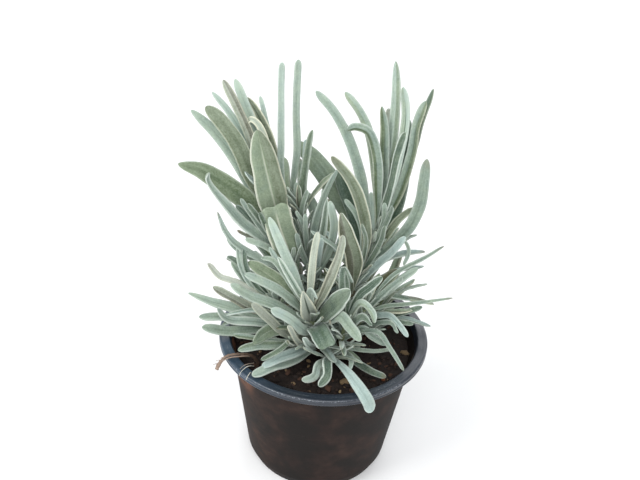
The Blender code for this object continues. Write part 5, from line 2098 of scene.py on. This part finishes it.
@dataclass
class Pot:
    """The round tapered pot: a thin wall, a rolled rim with a bead, and drain holes."""

    rim_radius: float = 55.0
    rim_inner: float = 49.8
    rim_depth: float = 3.4
    height: float = 78.0
    neck_radius: float = 48.8
    chamfer_radius: float = 38.8
    chamfer_height: float = 6.0
    base_radius: float = 36.0
    wall: float = 1.5
    floor: float = 1.8
    steps: int = 192
    drain_holes: int = 4
    drain_circle: float = 22.0
    drain_radius: float = 3.5
    drill_depth: float = 6.0
    drill_steps: int = 32
    inner_round: float = 0.9
    outer_round: float = 1.2
    bead_round: float = 0.5
    neck_round: float = 0.9
    foot_ring: float = 3.0
    hollow: float = 0.35
    wobbles: tuple = ((0.0022, 2, 0.7), (0.0011, 5, 2.1))
    sharp_edge: float = math.radians(50)

    def wall_radius(self, height: float) -> float:
        """The outer radius of the wall at a height."""
        share = (height - self.chamfer_height) / (self.height - self.rim_depth - self.chamfer_height)
        return self.chamfer_radius + (self.neck_radius - self.chamfer_radius) * share

    def wall_points(self, start: float, end: float, steps: int, inset: float = 0.0) -> list[Point]:
        """The points of the wall after one height, up or down to another."""
        heights = [start + (end - start) * step / steps for step in range(1, steps + 1)]
        return [(self.wall_radius(height) - inset, height) for height in heights]

    @staticmethod
    def arc(middle: Point, radius: float, start: float, end: float, steps: int) -> list[Point]:
        """The points of an arc in a profile, from one angle in degrees to another."""
        angles = [math.radians(start + (end - start) * i / steps) for i in range(steps + 1)]
        return [(middle[0] + radius * math.cos(a), middle[1] + radius * math.sin(a)) for a in angles]

    def inside(self) -> list[Point]:
        """The section of the inside, from the middle of the floor up to the rim.

        Returns:
            The radius and height of each point.
        """
        neck = self.height - self.rim_depth
        corner = self.base_radius - self.wall
        points = [(0.0, self.floor), (corner - 1.0, self.floor), (corner, self.floor + 0.5)]
        points.append((self.chamfer_radius - self.wall, self.chamfer_height + 0.4))
        points.extend(self.wall_points(self.chamfer_height, neck - 4.0, 7, self.wall))
        points.extend([(self.rim_inner - 1.6, neck - 1.0), (self.rim_inner - 1.2, neck + 0.6)])
        return points

    def over_rim(self) -> list[Point]:
        """The section of the rolled rim, from its inner edge over its top and down to its bead.

        Returns:
            The radius and height of each point.
        """
        neck = self.height - self.rim_depth
        top = self.height
        edge = self.rim_radius
        inner = (self.rim_inner + 0.6, top - self.inner_round)
        points = self.arc(inner, self.inner_round, 175, 95, 6)
        points.extend([(self.rim_inner + 2.2, top - 0.18), (edge - 2.4, top - 0.14)])
        outer = (edge - self.outer_round, top - self.outer_round)
        points.extend(self.arc(outer, self.outer_round, 92, 4, 9))
        points.extend([(edge - 0.28, neck + 1.5), (edge - 0.3, neck + 1.1)])
        points.extend(self.arc((edge - 0.55, neck + 0.55), self.bead_round, 60, -70, 6))
        points.append((edge - 1.2, neck + 0.02))
        return points

    def outside(self) -> list[Point]:
        """The section of the outside, from under the rim down to the middle of the base.

        Returns:
            The radius and height of each point.
        """
        neck = self.height - self.rim_depth
        corner = self.neck_radius + self.neck_round
        base = self.base_radius
        points = [(corner, neck)]
        points.extend(self.arc((corner, neck - 0.95), self.neck_round, 100, 178, 4))
        points.extend(self.wall_points(neck - 1.2, self.chamfer_height + 0.8, 13))
        points.append((self.chamfer_radius - 0.08, self.chamfer_height - 0.1))
        points.append((self.chamfer_radius - 0.6, self.chamfer_height - 1.2))
        points.extend([(base + 0.25, 0.7), (base, 0.22), (base - 0.35, 0.0), (base - self.foot_ring, 0.0)])
        points.extend([(base - self.foot_ring - 0.6, self.hollow), (0.0, self.hollow)])
        return points

    def build(self) -> bpy.types.Object:
        """Make the pot, a little out of true as a thin pot is, and drill its drain holes.

        Returns:
            The pot.
        """
        points, faces = lathed(self.inside() + self.over_rim() + self.outside(), self.steps)
        angle = np.arctan2(points[:, 1], points[:, 0])
        lift = np.clip(points[:, 2] / self.height, 0, 1) ** 2
        wobble = sum(size * np.sin(waves * angle + shift) for size, waves, shift in self.wobbles)
        points[:, :2] *= (1 + lift * wobble)[:, None]
        pile = Pile()
        pile.add(points, faces, (0.0, 0.0, 0.0))
        pot = pile.made("pot_shell", [NurseryPlastic().make()])
        for index in range(self.drain_holes):
            self.drill(pot, 360 * (index + 0.5) / self.drain_holes)
        pot.data.shade_smooth()
        pot.data.set_sharp_from_angle(angle=self.sharp_edge)
        return dressed(pot, "pot")

    def drill(self, pot: bpy.types.Object, bearing: float) -> None:
        """Cut one round hole through the base.

        Args:
            pot: The pot.
            bearing: Where the hole is on its circle, in degrees.
        """
        mesh = bpy.data.meshes.new("drill")
        radius = MM * self.drain_radius
        shape = bmesh.new()
        bmesh.ops.create_cone(shape, cap_ends=True, segments=self.drill_steps, radius1=radius, radius2=radius,
                              depth=MM * self.drill_depth)
        shape.to_mesh(mesh)
        shape.free()
        tool = linked("drill", mesh)
        tool.location = MM * (self.drain_circle * outward(bearing) + self.floor / 2 * UP)
        cut = pot.modifiers.new("cut", "BOOLEAN")
        cut.operation = "DIFFERENCE"
        cut.object = tool
        bake(pot)
        bpy.data.objects.remove(tool, do_unlink=True)


class Grit(Enum):
    """What a lump in the soil is: how brown, how orange and how stony."""

    PEAT = (0.25, 0.0, 0.0)
    BARK = (0.85, 0.1, 0.0)
    CHIP = (0.8, 0.75, 0.0)
    PEBBLE = (0.7, 0.05, 0.6)
    FLECK = (0.9, 0.0, 1.4)


@dataclass
class Soil:
    """The soil that fills the pot: a crumbly surface with lumps, bark chips and small stones."""

    level: float = 68.5
    relief: float = 1.1
    top_radius: float = 46.1
    chamfer_radius: float = 36.8
    chamfer_height: float = 7.0
    base_radius: float = 33.8
    floor: float = 2.1
    rings: int = 64
    steps: int = 200
    lumps: int = 620
    sighted: tuple = (
        ((328, 388), Grit.BARK, 1.7),
        ((383, 378), Grit.CHIP, 1.9),
        ((405, 352), Grit.PEBBLE, 2.4),
        ((345, 382), Grit.PEBBLE, 2.3),
        ((340, 391), Grit.FLECK, 0.9),
        ((398, 362), Grit.BARK, 2.0),
        ((352, 389), Grit.BARK, 1.7),
        ((288, 372), Grit.BARK, 1.8),
        ((300, 379), Grit.BARK, 1.4),
    )
    layers: tuple = ((1.0, 3.0, 7.0), (0.5, 9.0, 3.0), (0.35, 1.0, 1.3), (0.16, 5.0, 0.6))
    kinds: tuple = (Grit.PEAT,) * 4 + (Grit.BARK,) * 2 + (Grit.PEBBLE,)
    lump_sizes: Point = (0.4, 1.3)
    pebble_size: float = 0.7
    sunk: float = 0.15
    tilt: float = 0.4

    def height(self, x: float, y: float) -> float:
        """The height of the soil's surface at a place, by its layers of noise: share, place and size."""
        rough = sum(share * noise.noise(Vector((x, y, own)) / size) for share, own, size in self.layers)
        return self.level + self.relief * rough

    def build(self) -> bpy.types.Object:
        """Make the soil and its lumps.

        Returns:
            The soil.
        """
        profile = [(0.0, self.level)]
        profile.extend((self.top_radius * ring / self.rings, self.level) for ring in range(1, self.rings + 1))
        edge = (self.top_radius - 0.1, self.level - 2.0)
        profile.extend([edge, (self.chamfer_radius, self.chamfer_height)])
        profile.extend([(self.base_radius, self.floor), (0.0, self.floor)])
        points, faces = lathed(profile, self.steps)
        for point in points:
            if point[2] > self.level - 0.01:
                point[2] = self.height(point[0], point[1])
        pile = Pile()
        pile.add(points, faces, (0.12, 0.0, 0.0))
        draw = random.Random(SEED + 7)
        least, more = self.lump_sizes
        for _ in range(self.lumps):
            reach = 0.985 * self.top_radius * math.sqrt(draw.random())
            turn = draw.uniform(0, math.tau)
            size = least + more * draw.random() ** 2.2
            kind = draw.choice(self.kinds)
            if kind is Grit.PEBBLE:
                size *= self.pebble_size
            self.add_lump(pile, reach * math.cos(turn), reach * math.sin(turn), size, kind, draw)
        for point, kind, size in self.sighted:
            spot = SIGHT.on_level(point, self.level + 0.5)
            self.add_lump(pile, spot.x, spot.y, size, kind, draw)
        return dressed(pile.made("soil_fill", [PottingSoil().make()]), "soil")

    def add_lump(self, pile: Pile, x: float, y: float, size: float, kind: Grit, draw: random.Random) -> None:
        """Add one lump, half sunk in the surface.

        Args:
            pile: The pile to add it to.
            x: Its place.
            y: Its place.
            size: Its radius.
            kind: What it is.
            draw: The seeded draws.
        """
        shape = bmesh.new()
        bmesh.ops.create_icosphere(shape, subdivisions=2, radius=1.0)
        flat = 0.5 if kind in (Grit.BARK, Grit.CHIP) else 0.75
        stretch = Vector((size * draw.uniform(0.95, 1.5), size * draw.uniform(0.6, 0.95), size * flat))
        turn = Matrix.Rotation(draw.uniform(0, math.tau), 3, "Z")
        turn = turn @ Matrix.Rotation(draw.uniform(-self.tilt, self.tilt), 3, "X")
        shift = Vector((draw.uniform(-9, 9), draw.uniform(-9, 9), 0))
        spot = Vector((x, y, self.height(x, y) + self.sunk * size))
        points = []
        for vertex in shape.verts:
            rough = 1 + 0.32 * noise.noise(vertex.co * 1.4 + shift)
            rough += 0.14 * noise.noise(vertex.co * 3.1 + shift)
            points.append(tuple(spot + turn @ (vertex.co * rough * stretch)))
        faces = [tuple(v.index for v in face.verts) for face in shape.faces]
        shape.free()
        warm, orange, stony = kind.value
        pile.add(np.array(points), faces, (warm + draw.uniform(-0.2, 0.2), orange, stony))


@dataclass
class DryStalk:
    """The dead stalk over the rim, with the pale roots that lie on the rim beside it.

    Each root is a row of picture points with the height of each, its radius and how pale it is.
    """

    foot: Triple = (-33.0, -21.0, 62.8)
    radius: float = 0.9
    bends: int = 40
    thinning: float = 0.4
    knots: float = 0.16
    knot_pace: float = 1.9
    frayed: Point = (0.82, 0.93)
    fray_swell: float = 0.45
    waver: float = 0.16
    waver_places: Triple = (0.0, 31.4, 67.9)
    fibres: int = 5
    fibre_lengths: Point = (2.0, 4.5)
    way: tuple = ((-33.0, -21.0, 71.0), (-36.0, -23.5, 77.0), (-42.0, -26.5, 79.8), (-47.5, -28.5, 79.8),
                  (-50.8, -30.0, 77.0), (-52.5, -31.0, 73.0))
    roots: tuple = (
        (((255, 357), 72.0), ((247, 356), 78.6), ((239, 356.5), 80.0), ((230, 357.5), 79.8),
         ((223, 361), 78.0), ((220, 366), 75.0), 0.5, 0.55),
        (((254, 366), 74.0), ((249, 366), 78.2), ((245, 368), 78.4), ((241, 372), 78.4),
         ((239, 376), 78.1), 0.26, 2.0),
        (((254, 371), 75.5), ((250, 373), 78.4), ((248, 376), 78.4), ((246, 380), 78.2), 0.3, 2.0),
        (((254, 363), 74.0), ((248, 364), 78.3), ((243, 366), 78.4), ((240, 369), 78.3), 0.2, 1.2),
    )

    def build(self) -> bpy.types.Object:
        """Make the stalk, its frayed end and the roots.

        Returns:
            The stalk.
        """
        pile = Pile()
        route = [Vector(self.foot)]
        route.extend(smooth_route([Vector(point) for point in self.way], self.bends))
        self.add_stalk(pile, route)
        draw = random.Random(SEED + 3)
        for _ in range(self.fibres):
            start = route[draw.randint(self.bends // 2, self.bends - 4)]
            away = Vector((draw.uniform(-1.0, -0.2), draw.uniform(-0.6, 0.4), draw.uniform(-0.2, 0.35)))
            tip = start + draw.uniform(*self.fibre_lengths) * away.normalized()
            self.add_strand(pile, [start, start.lerp(tip, 0.5) + 0.3 * UP, tip], 0.22, 0.6)
        for *spots, radius, pale in self.roots:
            self.add_strand(pile, [SIGHT.on_level(point, height) for point, height in spots], radius, pale)
        return dressed(pile.made("dry_stalk_and_roots", [DeadFibre().make()]), "dry_stalk")

    def add_stalk(self, pile: Pile, route: Sequence[Vector]) -> None:
        """Add the knotty stalk, which thins and then swells where its end is frayed.

        Args:
            pile: The pile to add it to.
            route: The points that it follows.
        """
        steps = np.arange(len(route))
        knotty = 1 + self.knots * np.sin(self.knot_pace * steps)
        radii = self.radius * (1 - self.thinning * steps / self.bends) * knotty
        start, end = self.frayed
        radii += self.fray_swell * eased(start * self.bends, end * self.bends, steps)
        points, faces, shares = tube(route, radii.tolist(), 12, 0.06)
        for point in points:
            place = 0.9 * Vector(point)
            point += self.waver * np.array([noise.noise(place + own * UP) for own in self.waver_places])
        pile.add(points, faces, np.stack([1.1 * shares - 0.4, 0 * shares, 0 * shares], 1))

    @staticmethod
    def add_strand(pile: Pile, points: Sequence[Vector], radius: float, pale: float) -> None:
        """Add one thin root or fibre.

        Args:
            pile: The pile to add it to.
            points: The points that it goes through.
            radius: Its radius.
            pale: How pale it is, and over 1 how far it is bleached as well.
        """
        count = 18
        route = smooth_route(points, count)
        radii = [radius * (1 - 0.6 * i / count) for i in range(count)]
        vertices, faces, _ = tube(route, radii, 7)
        pile.add(vertices, faces, (pale, max(pale - 1.0, 0.0), 0.0))


@dataclass
class Studio:
    """The pale floor, the soft lights and the camera at the photograph's viewing angle."""

    sensor: float = 36.0
    picture_width: float = 640.0
    floor_size: float = 9.0
    floor_drop: float = 0.0002
    sky: float = 0.72
    sky_colour: Colour = (0.97, 0.985, 1.0)
    looked_at: Triple = (0.0, 0.0, 0.1)
    lamps: tuple = (
        ("key", (-1.0, -0.55, 1.25), 14.0, 0.8, (1.0, 1.0, 1.0)),
        ("front", (0.1, -1.15, 1.05), 11.0, 0.9, (1.0, 1.0, 1.0)),
        ("fill", (1.1, -0.6, 0.9), 3.0, 1.2, (0.94, 0.97, 1.0)),
        ("back", (0.3, 1.2, 1.1), 8.0, 1.2, (0.97, 0.98, 1.0)),
    )

    def build(self) -> None:
        """Make the floor, the lights and the camera."""
        half = self.floor_size / 2
        mesh = bpy.data.meshes.new("floor")
        corners = [(-half, -half, 0), (half, -half, 0), (half, half, 0), (-half, half, 0)]
        mesh.from_pydata(corners, [], [(0, 1, 2, 3)])
        mesh.materials.append(StudioPaper().make())
        floor = linked("floor", mesh)
        floor.location.z = -self.floor_drop
        for lamp in self.lamps:
            self.add_lamp(*lamp)
        world = bpy.data.worlds.new("soft_sky")
        world.use_nodes = True
        world.node_tree.nodes["Background"].inputs[0].default_value = (*self.sky_colour, 1.0)
        world.node_tree.nodes["Background"].inputs[1].default_value = self.sky
        bpy.context.scene.world = world
        bpy.context.scene.view_settings.view_transform = "Standard"
        self.add_camera()
        LOG.info("studio: floor, %d lamps, camera", len(self.lamps))

    def add_lamp(self, name: str, spot: Triple, power: float, size: float, colour: Colour) -> None:
        """Add a broad lamp that looks at the plant.

        Args:
            name: Its name.
            spot: Its place in metres.
            power: Its power in watts.
            size: Its width in metres.
            colour: Its colour.
        """
        lamp = bpy.data.lights.new(name, "AREA")
        lamp.energy = power
        lamp.size = size
        lamp.color = colour
        made = linked(name, lamp)
        made.location = spot
        made.rotation_euler = (Vector(self.looked_at) - Vector(spot)).to_track_quat("-Z", "Y").to_euler()

    def add_camera(self) -> None:
        """Add the camera where the picture's eye is."""
        lens = bpy.data.cameras.new("camera")
        lens.sensor_width = self.sensor
        lens.lens = SIGHT.focal / self.picture_width * self.sensor
        camera = linked("camera", lens)
        right, top, ahead = SIGHT.axes()
        turn = Matrix((right, top, -ahead)).transposed().to_4x4()
        camera.matrix_world = Matrix.Translation(MM * EYE) @ turn
        bpy.context.scene.camera = camera


def main() -> None:
    """Build the pot, the soil, the dry stalk, the plant and the studio."""
    logging.basicConfig(level=logging.INFO, format="%(message)s")
    Pot().build()
    Soil().build()
    DryStalk().build()
    plant = Plant()
    plant.grow()
    plant.build()
    Studio().build()


if __name__ == "__main__":
    main()
